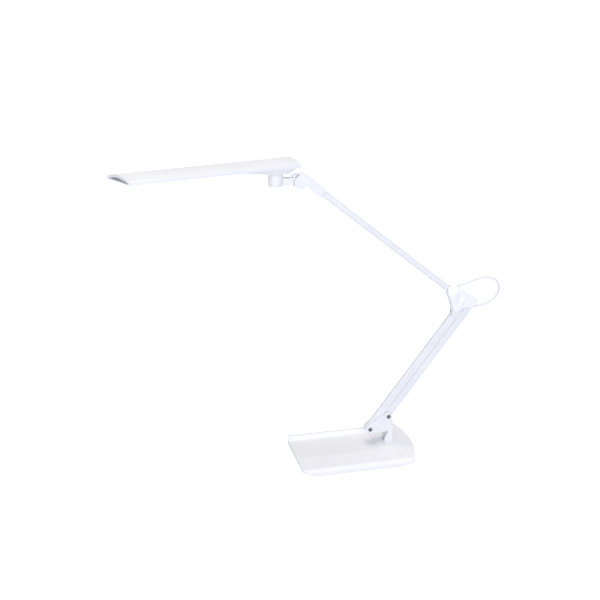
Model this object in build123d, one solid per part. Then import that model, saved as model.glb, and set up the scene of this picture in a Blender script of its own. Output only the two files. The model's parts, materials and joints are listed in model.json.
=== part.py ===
from build123d import *
import os
from math import cos, pi, radians, sin

# An LED desk lamp: a weighted base with a pen tray, a lower arm of two parallel bars, an elbow,
# a straight upper arm, a tilting neck and a flat head that swivels on the neck's post.
# Sizes are millimetres. +X is to the right seen from the front, +Y to the back, +Z up, and the
# lamp stands on Z = 0 with the middle of its base at X = Y = 0.

# Room between pieces
RUNNING_FIT = 0.05
PRESS_FIT = 0.02
SEAT_GAP = 0.2
SLIDE_GAP = 0.35

# Base
BASE_LENGTH = 205.0
BASE_DEPTH = 117.0
BASE_BACK_HEIGHT = 25.0
BASE_FRONT_HEIGHT = 13.0
BASE_WALL = 2.5
BASE_CORNER = 8.0
BACK_CORNER = 3.5
END_BULGE = 13.0
LEFT_UNDERCUT = 21.0
RIGHT_UNDERCUT = 35.0
UNDERCUT_RISE = 9.0
FOOT_CHAMFER = 1.5
FRONT_ROLL = 6.5
LIP_WIDTH = 10.0
LIP_EDGE = 2.0
TRAY_DEPTH = 7.5
TRAY_WALL_RUN = 2.0
TRAY_COVE = 3.0
TRAY_STEP_X = 39.0
PAD_THICKNESS = 1.0
PAD_MARGIN = 3.0
PLATE_LEDGE = 8.0
PLATE_CORNER = 6.0
BASE_BOSS_RADIUS = 4.0
BASE_SCREW_RADIUS = 1.4
BASE_SCREW_HEAD = 2.8
BASE_SCREW_LENGTH = 8.0
GROMMET_X = 62.0
GROMMET_Z = 13.5
GROMMET_BORE = 2.3
GROMMET_WALL = 1.7
GROMMET_FLANGE = 1.6
GROMMET_FLANGE_WIDTH = 1.5

# Arms, in the upright plane Y = ARM_Y
ARM_Y = 10.0
FRONT_PIVOT_X = 29.6
FRONT_PIVOT_Z = 45.5
LINK_ANGLE = 32.3
BAR_ANGLE = 52.9
BAR_LENGTH = 240.5
BAR_WIDTH = 13.0
BAR_DEPTH = 9.0
BAR_GAP = 0.4
BAR_WALL = 1.3
BAR_EDGE = 1.5
BAR_END_LENGTH = 22.0
BAR_HEAD = 11.0
BAR_HEAD_CORNER = 4.0
BAR_PLUG = 9.0
PIN_RADIUS = 2.0
BUSH_WALL = 1.1

# Bracket that carries the lower arm
CHEEK = 4.0
LUG_RADIUS = 7.2
CHEEK_EDGE = 1.0
LEG_WIDTH = 8.5
LEG_OFFSET = 4.4
LEG_FLARE = 6.0
LEG_GAP = 0.1
LEG_SHOULDER = 15.0
FOOT_Z = 11.0
FOOT_THICKNESS = 3.6
FOOT_WIDTH = 6.0
FOOT_REACH = 21.0
WEB_DROP = 17.0
PIVOT_HEAD_RADIUS = 3.4
PIVOT_HEAD = 1.3
PIVOT_NUT_RADIUS = 3.8
PIVOT_NUT = 2.6
BRACKET_SCREW_RADIUS = 1.5
BRACKET_SCREW_HEAD = 2.8
BRACKET_SCREW_HEAD_HEIGHT = 2.0

# Elbow
ELBOW_RISE = 39.0
ELBOW_SHIFT = -2.4
ELBOW_PLATE = 3.0
ELBOW_COVER = 5.5
ELBOW_REAR_COVER = 4.7
COVER_WALL = 1.6
COVER_MARGIN = 0.8
COVER_EDGE = 2.2
REAR_INSET = 3.0
REAR_CREST = 6.5
WALL_DROP = 7.0
ELBOW_LUG = 4.4
NUT_CAP_RADIUS = 6.8
BOSS_X = -1.7
BOSS_Z = 0.9
BOSS_RADIUS = 8.5
BOSS_HEIGHT = 1.4
ELBOW_BOLT_RADIUS = 3.0
ELBOW_HEAD_RADIUS = 5.0
ELBOW_HEAD = 2.5
ELBOW_NUT = 2.8

# Corners of the elbow's cover in turn: X and Z from the pivot that each lies round, and its radius
LEFT_CORNER = (-15.0, 2.7, 7.0)
FRONT_CORNER = (-5.9, 4.5, 5.5)
REAR_CORNERS = [(-16.7, -5.0, 12.0), (-3.2, -10.3, 3.0), (8.3, 4.8, 2.5)]
TOP_CORNERS = [(-2.8, 17.5, 5.0), (-13.1, 11.6, 6.0)]

# Upper arm
ARM_ANGLE = 38.7
ARM_LENGTH = 330.6
KNUCKLE_DROP = 8.6
TUBE_RADIUS = 5.5
TUBE_WALL = 1.2
ROOT_RADIUS = 12.0
TUBE_START = 19.0
ROOT_PLUG = 24.0
SLEEVE_LENGTH = 40.0
SLEEVE_HEIGHT = 16.0
SLEEVE_SOCKET = 22.0
SLEEVE_CROWN = 13.0
SLEEVE_CORNER = 2.0
SLEEVE_EDGE = 1.5
KNUCKLE_EDGE = 1.0
SLEEVE_OVERHANG = 10.4
KNUCKLE_DEPTH = 16.0
KNUCKLE_RADIUS = 10.8
TILT_BOLT_RADIUS = 2.5
TILT_HEAD_RADIUS = 4.4
TILT_HEAD = 1.5
CAP_RADIUS = 5.4
CAP_THICKNESS = 1.3
CAP_PROUD = 0.5
CAP_DIMPLE = 2.6
SET_SCREW_RADIUS = 1.2

# Neck and post
NECK_REACH = 38.5
NECK_TOP = 8.6
NECK_HEIGHT = 11.0
NECK_DEPTH = 12.0
NECK_EDGE = 1.2
TONGUE_DEPTH = 7.3
EYE_RADIUS = 9.0
TILT_UP = 30
TILT_DOWN = 60
TILT_STEP = 15
POST_RADIUS = 11.75
POST_BOTTOM = -4.3
POST_TOP = 17.0
POST_EDGE = 2.0
POST_CAP = 1.5
POST_CAP_RADIUS = 9.0
NUT_POCKET = 4.2

# Head, which points to the left and is turned a little towards the front
HEAD_YAW = 15.0
HEAD_WIDTH = 62.0
HEAD_REACH = 246.0
HEAD_TAIL = 29.0
END_SKEW = 10.0
CHIN_DEPTH = 9.8
RIM_HEIGHT = 5.0
ARCH_RISE = 6.0
ARCH_THICKNESS = 3.0
END_BAND = 4.4
RIM_WALL = 3.0
END_RECESS = 4.0
TAIL_RECESS = 2.0
SHELL_EDGE = 1.6
SHELL_FOOT = 0.6
SHELL_END_EDGE = 1.0
FRAME_LIFT = 0.4
FRAME_THICKNESS = 2.4
FRAME_WALL = 1.6
TONGUE_THICKNESS = 1.2
TONGUE_RECESS = 0.8
WINDOW_START = 98.0
WINDOW_MARGIN = 10.0
WINDOW_WIDTH = 45.0
DIFFUSER_LIP = 2.0
DIFFUSER_THICKNESS = 1.3
BOARD_WIDTH = 22.0
BOARD_THICKNESS = 1.0
SPREADER_THICKNESS = 1.0
LED_SIZE = 3.0
LED_HEIGHT = 0.7
LED_COUNT = 14
LED_ROW_OFFSET = 6.0
BUTTON_U = 86.0
BUTTON_RADIUS = 4.0
BUTTON_PROUD = 1.2
BUTTON_TRAVEL = 0.5
BUTTON_FLANGE = 1.0
BUTTON_FLANGE_THICKNESS = 0.4
CHIN_TOP_LENGTH = 75.0
CHIN_TOP_TAIL = 26.8
CHIN_BOTTOM_RADIUS = 20.0
CHIN_BOTTOM_CORNER = 12.0
CHIN_TOP_CORNER = 4.0
CHIN_WALL = 2.0
SHAFT_RADIUS = 5.0
SHAFT_BORE = 2.6
SHAFT_FLANGE_RADIUS = 9.0
SHAFT_FLANGE = 2.0
SHAFT_NUT_RADIUS = 7.4
SHAFT_NUT = 2.2
SHAFT_WASHER = 0.6
DRIVER_U = 26.0
DRIVER_LENGTH = 24.0
DRIVER_WIDTH = 22.0
DRIVER_THICKNESS = 1.6
DRIVER_POST = 2.2
HEAD_SCREW_RADIUS = 1.0
HEAD_SCREW_HEAD = 1.9
HEAD_SCREW_HEAD_HEIGHT = 1.1
HEAD_SCREW_LENGTH = 3.6
HEAD_BOSS_RADIUS = 2.8
HEAD_SCREW_V = 13.0
CHIN_SCREW_U = 58.0
CHIN_SCREW_V = 16.0

# Cables: routes in the X-Z plane of the arms, chosen by hand from the elbow's and the tilt's pivots
ELBOW_CABLE_DIAMETER = 4.2
ELBOW_CABLE_ROUTE = [(-4.2, 7.3), (14.7, 12.7), (35.7, 20.1), (57.2, 23.6), (75.7, 18.1),
                     (83.7, 3.1), (78.2, -13.4), (63.6, -22.8), (47.2, -26.3), (30.2, -31.2)]
NECK_CABLE_DIAMETER = 3.5
NECK_CABLE_ROUTE = [(10.9, 8.2), (5.4, 12.3), (-1.4, 14.3), (-8.4, 13.6), (-14.6, 10.3), (-18.8, 4.8)]
CABLE_ROOM = 0.15
CABLE_SLOT_TOP = 5.0
CABLE_SLOT_LENGTH = 11.5
CABLE_SLOT_WALL = 0.9
CABLE_SLOT_ROOM = 0.5


def step(length, angle):
    """A step in the X-Z plane, at an angle in degrees above +X."""
    return Vector(length * cos(radians(angle)), 0, length * sin(radians(angle)))


# Pivots. The bars lie side by side at rest, so the link between their pivots follows from their width.
LINK_LENGTH = (BAR_WIDTH + BAR_GAP) / sin(radians(BAR_ANGLE - LINK_ANGLE))
FRONT_PIVOT = Vector(FRONT_PIVOT_X, ARM_Y, FRONT_PIVOT_Z)
REAR_PIVOT = FRONT_PIVOT + step(LINK_LENGTH, LINK_ANGLE)
FRONT_TOP = FRONT_PIVOT + step(BAR_LENGTH, BAR_ANGLE)
REAR_TOP = REAR_PIVOT + step(BAR_LENGTH, BAR_ANGLE)
ELBOW = FRONT_TOP + Vector(ELBOW_SHIFT, 0, ELBOW_RISE)
ARM_WAY = step(1, 180 - ARM_ANGLE)
ARM_UP = step(1, 90 - ARM_ANGLE)
TILT = ELBOW + ARM_WAY * ARM_LENGTH - ARM_UP * KNUCKLE_DROP
POST = TILT - Vector(NECK_REACH, 0, 0)

# Levels and faces that several pieces share
SHELL_BOTTOM = PAD_THICKNESS
PLATE_TOP = SHELL_BOTTOM + BASE_WALL
TRAY_FLOOR = BASE_BACK_HEIGHT - TRAY_DEPTH
LIP_Y = BASE_DEPTH / 2 - LIP_WIDTH
BASE_LEFT = -BASE_LENGTH / 2
BASE_RIGHT = BASE_LENGTH / 2
CHEEK_INNER = BAR_DEPTH / 2 + SLIDE_GAP
CHEEK_OUTER = CHEEK_INNER + CHEEK
PLATE_OUTER = CHEEK_INNER + ELBOW_PLATE
LEG_LEFT = REAR_PIVOT.X + LEG_OFFSET - LEG_WIDTH / 2
LEG_RIGHT = REAR_PIVOT.X + LEG_OFFSET + LEG_WIDTH / 2
LEG_FOOT_LEFT = LEG_LEFT - LEG_FLARE
BUSH_RADIUS = PIN_RADIUS + RUNNING_FIT + BUSH_WALL
CHIN_BOTTOM = POST.Z + POST_TOP + SLIDE_GAP
RIM_BOTTOM = CHIN_BOTTOM + CHIN_DEPTH
FRAME_BOTTOM = RIM_BOTTOM + FRAME_LIFT
FRAME_TOP = FRAME_BOTTOM + FRAME_THICKNESS
CROWN = RIM_BOTTOM + RIM_HEIGHT + ARCH_RISE
RIM_INNER = FRAME_LIFT + FRAME_THICKNESS + SEAT_GAP


def slab(outline, front, back):
    """An X-Z outline made solid from its front Y to its back Y."""
    plane = Plane((0, back, 0), x_dir=(1, 0, 0), z_dir=(0, -1, 0))
    return extrude(plane * outline, back - front)


def prism(outline, left, right):
    """A Y-Z outline made solid from its left X to its right X."""
    plane = Plane((left, 0, 0), x_dir=(0, 1, 0), z_dir=(1, 0, 0))
    return extrude(plane * outline, right - left)


def block(low, high):
    """A box between its lowest and highest corners."""
    size = [b - a for a, b in zip(low, high)]
    return Pos(*low) * Box(*size, align=(Align.MIN, Align.MIN, Align.MIN))


def disc(centre, radius, front, back):
    """A round piece across the arms, from its front Y to its back Y."""
    return slab(Pos(centre.X, centre.Z) * Circle(radius), front, back)


def upright(x, y, radius, bottom, top):
    """A round upright piece."""
    return extrude(Pos(x, y, bottom) * Circle(radius), top - bottom)


def rod(start, end, radius):
    """A round piece from one point to another."""
    way = end - start
    return extrude(Plane(origin=start, z_dir=way) * Circle(radius), way.length)


def rounded(points, radii):
    """A closed outline through the points, each corner rounded by its radius."""
    face = make_face(Polyline(*points, close=True))
    for point, radius in zip(points, radii):
        corner = face.vertices().sort_by_distance(Vector(*point))[0]
        face = fillet(corner, radius)
    return face


def hexagon_nut(centre, radius, hole, front, back):
    """A hexagon nut on a pivot across the arms."""
    outline = Pos(centre.X, centre.Z) * (RegularPolygon(radius, 6) - Circle(hole))
    return slab(outline, front, back)


# Base

def slope_z(y):
    """Height of the sloped top of the base, falling from the back lip to the front."""
    fall = (BASE_BACK_HEIGHT - BASE_FRONT_HEIGHT) / (LIP_Y + BASE_DEPTH / 2)
    return BASE_BACK_HEIGHT - (LIP_Y - y) * fall


def ceiling_z(y):
    """Height of the room inside the base, under the slope or the tray, whichever is lower."""
    return min(slope_z(y), TRAY_FLOOR) - BASE_WALL - SLIDE_GAP


def base_plan():
    """The base seen from above: a straight left end and a bowed right end."""
    side = BASE_DEPTH / 2
    shoulder = BASE_RIGHT - END_BULGE
    edge = [
        Line((shoulder, side), (BASE_LEFT, side)),
        Line((BASE_LEFT, side), (BASE_LEFT, -side)),
        Line((BASE_LEFT, -side), (shoulder, -side)),
        ThreePointArc((shoulder, -side), (BASE_RIGHT, 0), (shoulder, side)),
    ]
    face = make_face(edge)
    back_left = face.vertices().sort_by_distance(Vector(BASE_LEFT, side))
    rest = back_left[1:]
    face = fillet(rest, BASE_CORNER)
    return fillet(face.vertices().sort_by_distance(Vector(BASE_LEFT, side))[0], BACK_CORNER)


def base_side():
    """The base seen from the front: a boat's hull, undercut at both ends."""
    rim = SHELL_BOTTOM + UNDERCUT_RISE
    points = [
        (BASE_LEFT + LEFT_UNDERCUT, SHELL_BOTTOM),
        (BASE_RIGHT - RIGHT_UNDERCUT, SHELL_BOTTOM),
        (BASE_RIGHT, rim),
        (BASE_RIGHT, BASE_BACK_HEIGHT),
        (BASE_LEFT, BASE_BACK_HEIGHT),
        (BASE_LEFT, rim),
    ]
    face = make_face(Polyline(*points, close=True))
    heels = face.vertices().group_by(Axis.Y)[0]
    return fillet(heels, 2 * UNDERCUT_RISE)


def base_section():
    """The base cut from front to back: a rolled front edge, the slope and the back lip."""
    side = BASE_DEPTH / 2
    foot = SHELL_BOTTOM + FOOT_CHAMFER
    points = [
        (-side + FOOT_CHAMFER, SHELL_BOTTOM),
        (-side, foot),
        (-side, BASE_FRONT_HEIGHT),
        (LIP_Y, BASE_BACK_HEIGHT),
        (side, BASE_BACK_HEIGHT),
        (side, foot),
        (side - FOOT_CHAMFER, SHELL_BOTTOM),
    ]
    face = make_face(Polyline(*points, close=True))
    front = face.vertices().sort_by_distance(Vector(-side, BASE_FRONT_HEIGHT))[0]
    face = fillet(front, FRONT_ROLL)
    back = face.vertices().sort_by_distance(Vector(side, BASE_BACK_HEIGHT))[0]
    return fillet(back, LIP_WIDTH / 2)


def tray_outline(wall):
    """The pen tray's cut, or with a wall the part of the inside that the tray takes away."""
    floor = TRAY_FLOOR - wall
    lip = BASE_BACK_HEIGHT
    top = lip + BASE_WALL
    front = -BASE_DEPTH / 2 - BASE_WALL
    edge = LIP_Y + wall
    crest = Vector(edge + LIP_EDGE, lip - LIP_EDGE)
    lines = [
        Line((crest.X, top), (crest.X, lip)),
        ThreePointArc((crest.X, lip), crest + Vector(-LIP_EDGE, 0).rotate(Axis.Z, -45), (edge, crest.Y)),
        Polyline((edge, crest.Y), (edge - TRAY_WALL_RUN, floor), (front, floor)),
        Polyline((front, floor), (front, top), (crest.X, top)),
    ]
    face = make_face(lines)
    corner = face.vertices().sort_by_distance(Vector(edge - TRAY_WALL_RUN, floor))[0]
    return fillet(corner, TRAY_COVE + wall)


def base_hull(inset):
    """The base's outer body, or its inside where an inset is given."""
    plan = base_plan()
    side = base_side()
    section = base_section()
    if inset:
        plan = offset(plan, -inset, kind=Kind.INTERSECTION)
        side = offset(side, -inset, kind=Kind.INTERSECTION)
        section = offset(section, -inset, kind=Kind.INTERSECTION)
    tall = extrude(plan, BASE_BACK_HEIGHT)
    long = slab(side, -BASE_DEPTH, BASE_DEPTH)
    wide = prism(section, -BASE_LENGTH, BASE_LENGTH)
    tray = prism(tray_outline(inset), -BASE_LENGTH, TRAY_STEP_X + inset)
    return tall & long & wide - tray


PLATE_LEFT = BASE_LEFT + LEFT_UNDERCUT + PLATE_LEDGE
PLATE_RIGHT = BASE_RIGHT - RIGHT_UNDERCUT - PLATE_LEDGE
PLATE_SIDE = BASE_DEPTH / 2 - FOOT_CHAMFER - PLATE_LEDGE
BOSS_INSET = BASE_BOSS_RADIUS + PLATE_LEDGE / 2
BASE_SCREWS = [
    (x, y)
    for x in (PLATE_LEFT + BOSS_INSET, PLATE_RIGHT - BOSS_INSET)
    for y in (-PLATE_SIDE + BOSS_INSET, PLATE_SIDE - BOSS_INSET)
]


def plate_outline(margin):
    """The opening under the base, drawn in by a margin."""
    length = PLATE_RIGHT - PLATE_LEFT - 2 * margin
    width = 2 * (PLATE_SIDE - margin)
    middle = (PLATE_LEFT + PLATE_RIGHT) / 2
    return Pos(middle, 0) * RectangleRounded(length, width, PLATE_CORNER - margin / 2)


FOOT_FRONT = ARM_Y - CHEEK_OUTER - FOOT_WIDTH
FOOT_BACK = ARM_Y + CHEEK_OUTER + FOOT_WIDTH
FOOT_LEFT = LEG_FOOT_LEFT - FOOT_REACH


def base_top_shell():
    """Moulded top of the base, with the tray, the leg's opening and four screw bosses."""
    outer = base_hull(0)
    shell = outer - base_hull(BASE_WALL)
    shell -= extrude(Pos(0, 0, SHELL_BOTTOM - BASE_WALL) * plate_outline(0), 2 * BASE_WALL + SEAT_GAP)
    for x, y in BASE_SCREWS:
        shell += upright(x, y, BASE_BOSS_RADIUS, PLATE_TOP, BASE_BACK_HEIGHT) & outer
        shell -= upright(x, y, BASE_SCREW_RADIUS + PRESS_FIT, SHELL_BOTTOM, SHELL_BOTTOM + BASE_SCREW_LENGTH)
    shell -= block(
        (LEG_FOOT_LEFT - LEG_GAP, ARM_Y - CHEEK_OUTER - LEG_GAP, FOOT_Z),
        (LEG_RIGHT + LEG_GAP, ARM_Y + CHEEK_OUTER + LEG_GAP, BASE_BACK_HEIGHT + BASE_WALL),
    )
    hole = GROMMET_BORE + GROMMET_WALL + PRESS_FIT
    shell -= disc(Vector(GROMMET_X, 0, GROMMET_Z), hole, LIP_Y, BASE_DEPTH)
    return shell


def base_bottom_plate():
    """Plate that closes the base from below, with countersunk screw holes."""
    plate = extrude(Pos(0, 0, SHELL_BOTTOM) * plate_outline(SEAT_GAP), BASE_WALL)
    for x, y in BASE_SCREWS:
        plate -= upright(x, y, BASE_SCREW_RADIUS + PRESS_FIT, SHELL_BOTTOM, PLATE_TOP)
        plate -= upright(x, y, BASE_SCREW_HEAD + PRESS_FIT, SHELL_BOTTOM, SHELL_BOTTOM + BASE_WALL / 2)
    return plate


def base_screws():
    """Four screws that hold the bottom plate to the shell's bosses."""
    screws = Part()
    for x, y in BASE_SCREWS:
        screws += upright(x, y, BASE_SCREW_HEAD, SHELL_BOTTOM, SHELL_BOTTOM + BASE_WALL / 2)
        screws += upright(x, y, BASE_SCREW_RADIUS, SHELL_BOTTOM, SHELL_BOTTOM + BASE_SCREW_LENGTH)
    return screws


WEIGHT_MARGIN = SEAT_GAP + SLIDE_GAP
BRACKET_SCREWS = [
    (x, y)
    for x in (FOOT_LEFT + FOOT_WIDTH, PLATE_RIGHT - FOOT_WIDTH)
    for y in (ARM_Y - CHEEK_OUTER, ARM_Y + CHEEK_OUTER)
]


def base_weight():
    """Cast weight on the bottom plate, shaped to the room under the shell, with the bracket's seat."""
    side = PLATE_SIDE - WEIGHT_MARGIN
    top = ceiling_z(side)
    fall = (BASE_BACK_HEIGHT - BASE_FRONT_HEIGHT) / (LIP_Y + BASE_DEPTH / 2)
    bend = -side + (top - ceiling_z(-side)) / fall
    points = [(-side, PLATE_TOP), (side, PLATE_TOP), (side, top), (bend, top), (-side, ceiling_z(-side))]
    weight = prism(make_face(Polyline(*points, close=True)), PLATE_LEFT, PLATE_RIGHT)
    weight &= extrude(Pos(0, 0, PLATE_TOP) * plate_outline(WEIGHT_MARGIN), BASE_BACK_HEIGHT)
    for x, y in BASE_SCREWS:
        weight -= upright(x, y, BASE_BOSS_RADIUS + SLIDE_GAP, 0, BASE_BACK_HEIGHT)
    weight -= block(
        (FOOT_LEFT - SEAT_GAP, FOOT_FRONT - SEAT_GAP, FOOT_Z),
        (BASE_RIGHT, FOOT_BACK + SEAT_GAP, BASE_BACK_HEIGHT),
    )
    for x, y in BRACKET_SCREWS:
        weight -= upright(x, y, BRACKET_SCREW_RADIUS + PRESS_FIT, 0, BASE_BACK_HEIGHT)
        weight -= upright(x, y, BRACKET_SCREW_HEAD + PRESS_FIT, 0, PLATE_TOP + BRACKET_SCREW_HEAD_HEIGHT)
    return weight


def non_slip_pad():
    """Rubber sheet under the bottom plate, on which the lamp stands."""
    return extrude(plate_outline(PAD_MARGIN), PAD_THICKNESS)


def cord_grommet():
    """Rubber grommet in the back wall, where the supply lead goes in."""
    centre = Vector(GROMMET_X, 0, GROMMET_Z)
    back = BASE_DEPTH / 2
    wall = GROMMET_BORE + GROMMET_WALL
    grommet = disc(centre, wall, back - BASE_WALL - GROMMET_FLANGE, back + GROMMET_FLANGE)
    flange = wall + GROMMET_FLANGE_WIDTH
    grommet += disc(centre, flange, back, back + GROMMET_FLANGE)
    grommet += disc(centre, flange, back - BASE_WALL - GROMMET_FLANGE, back - BASE_WALL)
    return grommet - disc(centre, GROMMET_BORE, 0, BASE_DEPTH)


# Bracket

def bracket_outline():
    """One cheek seen from the front: two lugs for the bars' pivots and a leg that widens at its foot."""
    up = step(LUG_RADIUS, LINK_ANGLE + 90)
    underside = FRONT_PIVOT.Z - LUG_RADIUS
    corners = [
        (FRONT_PIVOT.X + up.X, FRONT_PIVOT.Z + up.Z),
        (REAR_PIVOT.X + up.X, REAR_PIVOT.Z + up.Z),
        (REAR_PIVOT.X + LUG_RADIUS, REAR_PIVOT.Z),
        (LEG_RIGHT, REAR_PIVOT.Z - LEG_SHOULDER),
        (LEG_RIGHT, FOOT_Z),
        (LEG_FOOT_LEFT, FOOT_Z),
        (LEG_FOOT_LEFT, BASE_BACK_HEIGHT),
        (LEG_LEFT, underside),
        (FRONT_PIVOT.X, underside),
    ]
    outline = make_face(Polyline(*corners, close=True))
    for pivot in (FRONT_PIVOT, REAR_PIVOT):
        outline += Pos(pivot.X, pivot.Z) * Circle(LUG_RADIUS)
    return outline


TIE_SCREW = Vector((LEG_FOOT_LEFT + LEG_RIGHT) / 2, 0, FOOT_Z + 2 * FOOT_THICKNESS + LUG_RADIUS)


def bracket_half(side):
    """One moulded half of the bracket: its cheek, half of the leg and its foot. Side is -1 or 1."""
    inner = ARM_Y + side * CHEEK_INNER
    outer = ARM_Y + side * CHEEK_OUTER
    toe = outer + side * FOOT_WIDTH
    half = slab(bracket_outline(), min(inner, outer), max(inner, outer))
    outer_face = half.faces().sort_by(Axis.Y)[0 if side < 0 else -1]
    half = fillet(outer_face.edges(), CHEEK_EDGE)
    web_top = REAR_PIVOT.Z - WEB_DROP
    half += block((LEG_LEFT, min(inner, ARM_Y), FOOT_Z), (LEG_RIGHT, max(inner, ARM_Y), web_top))
    foot_top = FOOT_Z + FOOT_THICKNESS
    half += block((FOOT_LEFT, min(toe, ARM_Y), FOOT_Z), (LEG_RIGHT, max(toe, ARM_Y), foot_top))
    for pivot in (FRONT_PIVOT, REAR_PIVOT):
        half -= disc(pivot, PIN_RADIUS + PRESS_FIT, -BASE_DEPTH, BASE_DEPTH)
    for x, y in BRACKET_SCREWS:
        half -= upright(x, y, BRACKET_SCREW_RADIUS + PRESS_FIT, 0, BASE_BACK_HEIGHT)
    half -= disc(TIE_SCREW, BRACKET_SCREW_RADIUS + PRESS_FIT, ARM_Y - CHEEK_INNER, BASE_DEPTH)
    seat = ARM_Y + CHEEK_OUTER - BRACKET_SCREW_HEAD_HEIGHT
    return half - disc(TIE_SCREW, BRACKET_SCREW_HEAD + PRESS_FIT, seat, BASE_DEPTH)


def bracket_screws():
    """Four screws up through the weight into the bracket's feet."""
    screws = Part()
    for x, y in BRACKET_SCREWS:
        screws += upright(x, y, BRACKET_SCREW_HEAD, PLATE_TOP, PLATE_TOP + BRACKET_SCREW_HEAD_HEIGHT)
        screws += upright(x, y, BRACKET_SCREW_RADIUS, PLATE_TOP, FOOT_Z + FOOT_THICKNESS)
    return screws


def bracket_tie_screw():
    """Screw from the back that draws the two halves of the leg together."""
    head_back = ARM_Y + CHEEK_OUTER
    screw = disc(TIE_SCREW, BRACKET_SCREW_RADIUS, ARM_Y - CHEEK_INNER, head_back)
    return screw + disc(TIE_SCREW, BRACKET_SCREW_HEAD, head_back - BRACKET_SCREW_HEAD_HEIGHT, head_back)


def lower_pivot_screws():
    """Two shoulder screws on which the bars turn; their round heads show at the front."""
    front = ARM_Y - CHEEK_OUTER
    back = ARM_Y + CHEEK_OUTER + PIVOT_NUT
    screws = Part()
    for pivot in (FRONT_PIVOT, REAR_PIVOT):
        head = disc(pivot, PIVOT_HEAD_RADIUS, front - PIVOT_HEAD, front)
        rim = head.faces().sort_by(Axis.Y)[0].edges()
        screws += fillet(rim, PIVOT_HEAD / 2)
        screws += disc(pivot, PIN_RADIUS, front, back)
    return screws


def lower_pivot_nuts():
    """Two nuts on the back of the bracket."""
    front = ARM_Y + CHEEK_OUTER
    nuts = Part()
    for pivot in (FRONT_PIVOT, REAR_PIVOT):
        nuts += hexagon_nut(pivot, PIVOT_NUT_RADIUS, PIN_RADIUS + PRESS_FIT, front, front + PIVOT_NUT)
    return nuts


# Lower arm

def bar_place(pivot):
    """Where a bar lies: its own X runs up the bar from its lower pivot."""
    return Plane(pivot, x_dir=step(1, BAR_ANGLE), z_dir=(0, -1, 0))


def bar_body(headed):
    """A bar's whole outer form, rounded along its edges; a headed one has a longer, squarer upper end."""
    outline = Pos(BAR_LENGTH / 2, 0) * SlotCenterToCenter(BAR_LENGTH, BAR_WIDTH)
    if headed:
        middle = BAR_LENGTH + (BAR_HEAD - BAR_WIDTH) / 2
        outline += Pos(middle, 0) * RectangleRounded(BAR_HEAD + BAR_WIDTH, BAR_WIDTH, BAR_HEAD_CORNER)
    body = extrude(outline, BAR_DEPTH / 2, both=True)
    front_and_back = body.faces().sort_by(Axis.Z)
    return fillet(front_and_back[0].edges() + front_and_back[-1].edges(), BAR_EDGE)


def bar_bore(width_room, start, end):
    """The inside of a bar's tube between two places along it, drawn in by a room all round."""
    width = BAR_WIDTH - 2 * BAR_WALL - 2 * width_room
    depth = BAR_DEPTH - 2 * BAR_WALL - 2 * width_room
    return Pos(start, 0, 0) * Box(end - start, width, depth, align=(Align.MIN, Align.CENTER, Align.CENTER))


def bar_tube(pivot):
    """Aluminium tube of a bar, between its two end pieces."""
    end = BAR_LENGTH - BAR_END_LENGTH
    reach = block((BAR_END_LENGTH, -BAR_WIDTH, -BAR_DEPTH), (end, BAR_WIDTH, BAR_DEPTH))
    tube = bar_body(False) & reach
    return bar_place(pivot) * (tube - bar_bore(0, 0, BAR_LENGTH))


def bar_end(pivot, upper, cable_slot):
    """Moulded end of a bar, with its eye and a plug in the tube; one end has a slot for the cable."""
    seam = BAR_LENGTH - BAR_END_LENGTH if upper else BAR_END_LENGTH
    eye = BAR_LENGTH if upper else 0
    low = seam if upper else -BAR_WIDTH
    high = BAR_LENGTH + BAR_HEAD if upper else seam
    end = bar_body(not cable_slot) & block((low, -BAR_WIDTH, -BAR_DEPTH), (high, BAR_WIDTH, BAR_DEPTH))
    plug = (seam - BAR_PLUG, seam) if upper else (seam, seam + BAR_PLUG)
    end += bar_bore(SEAT_GAP, *plug)
    end -= extrude(Pos(eye, 0) * Circle(BUSH_RADIUS + PRESS_FIT), BAR_DEPTH, both=True)
    if cable_slot:
        half = ELBOW_CABLE_DIAMETER / 2 + CABLE_SLOT_ROOM
        top = eye - CABLE_SLOT_TOP
        floor = BAR_WIDTH / 2 - CABLE_SLOT_WALL
        end -= block((top - CABLE_SLOT_LENGTH, -BAR_WIDTH, -half), (top, floor, half))
    return bar_place(pivot) * end


def bar_bushes(pivot):
    """Plain bushes in the two eyes of a bar."""
    bushes = Part()
    for eye in (0, BAR_LENGTH):
        ring = Circle(BUSH_RADIUS) - Circle(PIN_RADIUS + RUNNING_FIT)
        bushes += extrude(Pos(eye, 0) * ring, BAR_DEPTH / 2, both=True)
    return bar_place(pivot) * bushes


# Elbow

def elbow_outline():
    """The elbow's cover seen from the front: lobes round the arm's pivot and both bar pivots."""
    places = [(ELBOW, LEFT_CORNER), (FRONT_TOP, FRONT_CORNER)]
    places += [(REAR_TOP, corner) for corner in REAR_CORNERS]
    places += [(ELBOW, corner) for corner in TOP_CORNERS]
    points = [(pivot.X + x, pivot.Z + z) for pivot, (x, z, _) in places]
    return rounded(points, [radius for _, (_, _, radius) in places])


def elbow_inset(inset):
    """The elbow's outline drawn in by an inset."""
    return offset(elbow_outline(), -inset, kind=Kind.INTERSECTION)


def under_arm():
    """Everything in the X-Z plane below a line just over the upper arm's axis at rest."""
    half = Rectangle(ARM_LENGTH, ARM_LENGTH, align=(Align.CENTER, Align.MAX))
    return Pos(ELBOW.X, ELBOW.Z) * Rot(0, 0, -ARM_ANGLE) * Pos(0, REAR_CREST) * half


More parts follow.
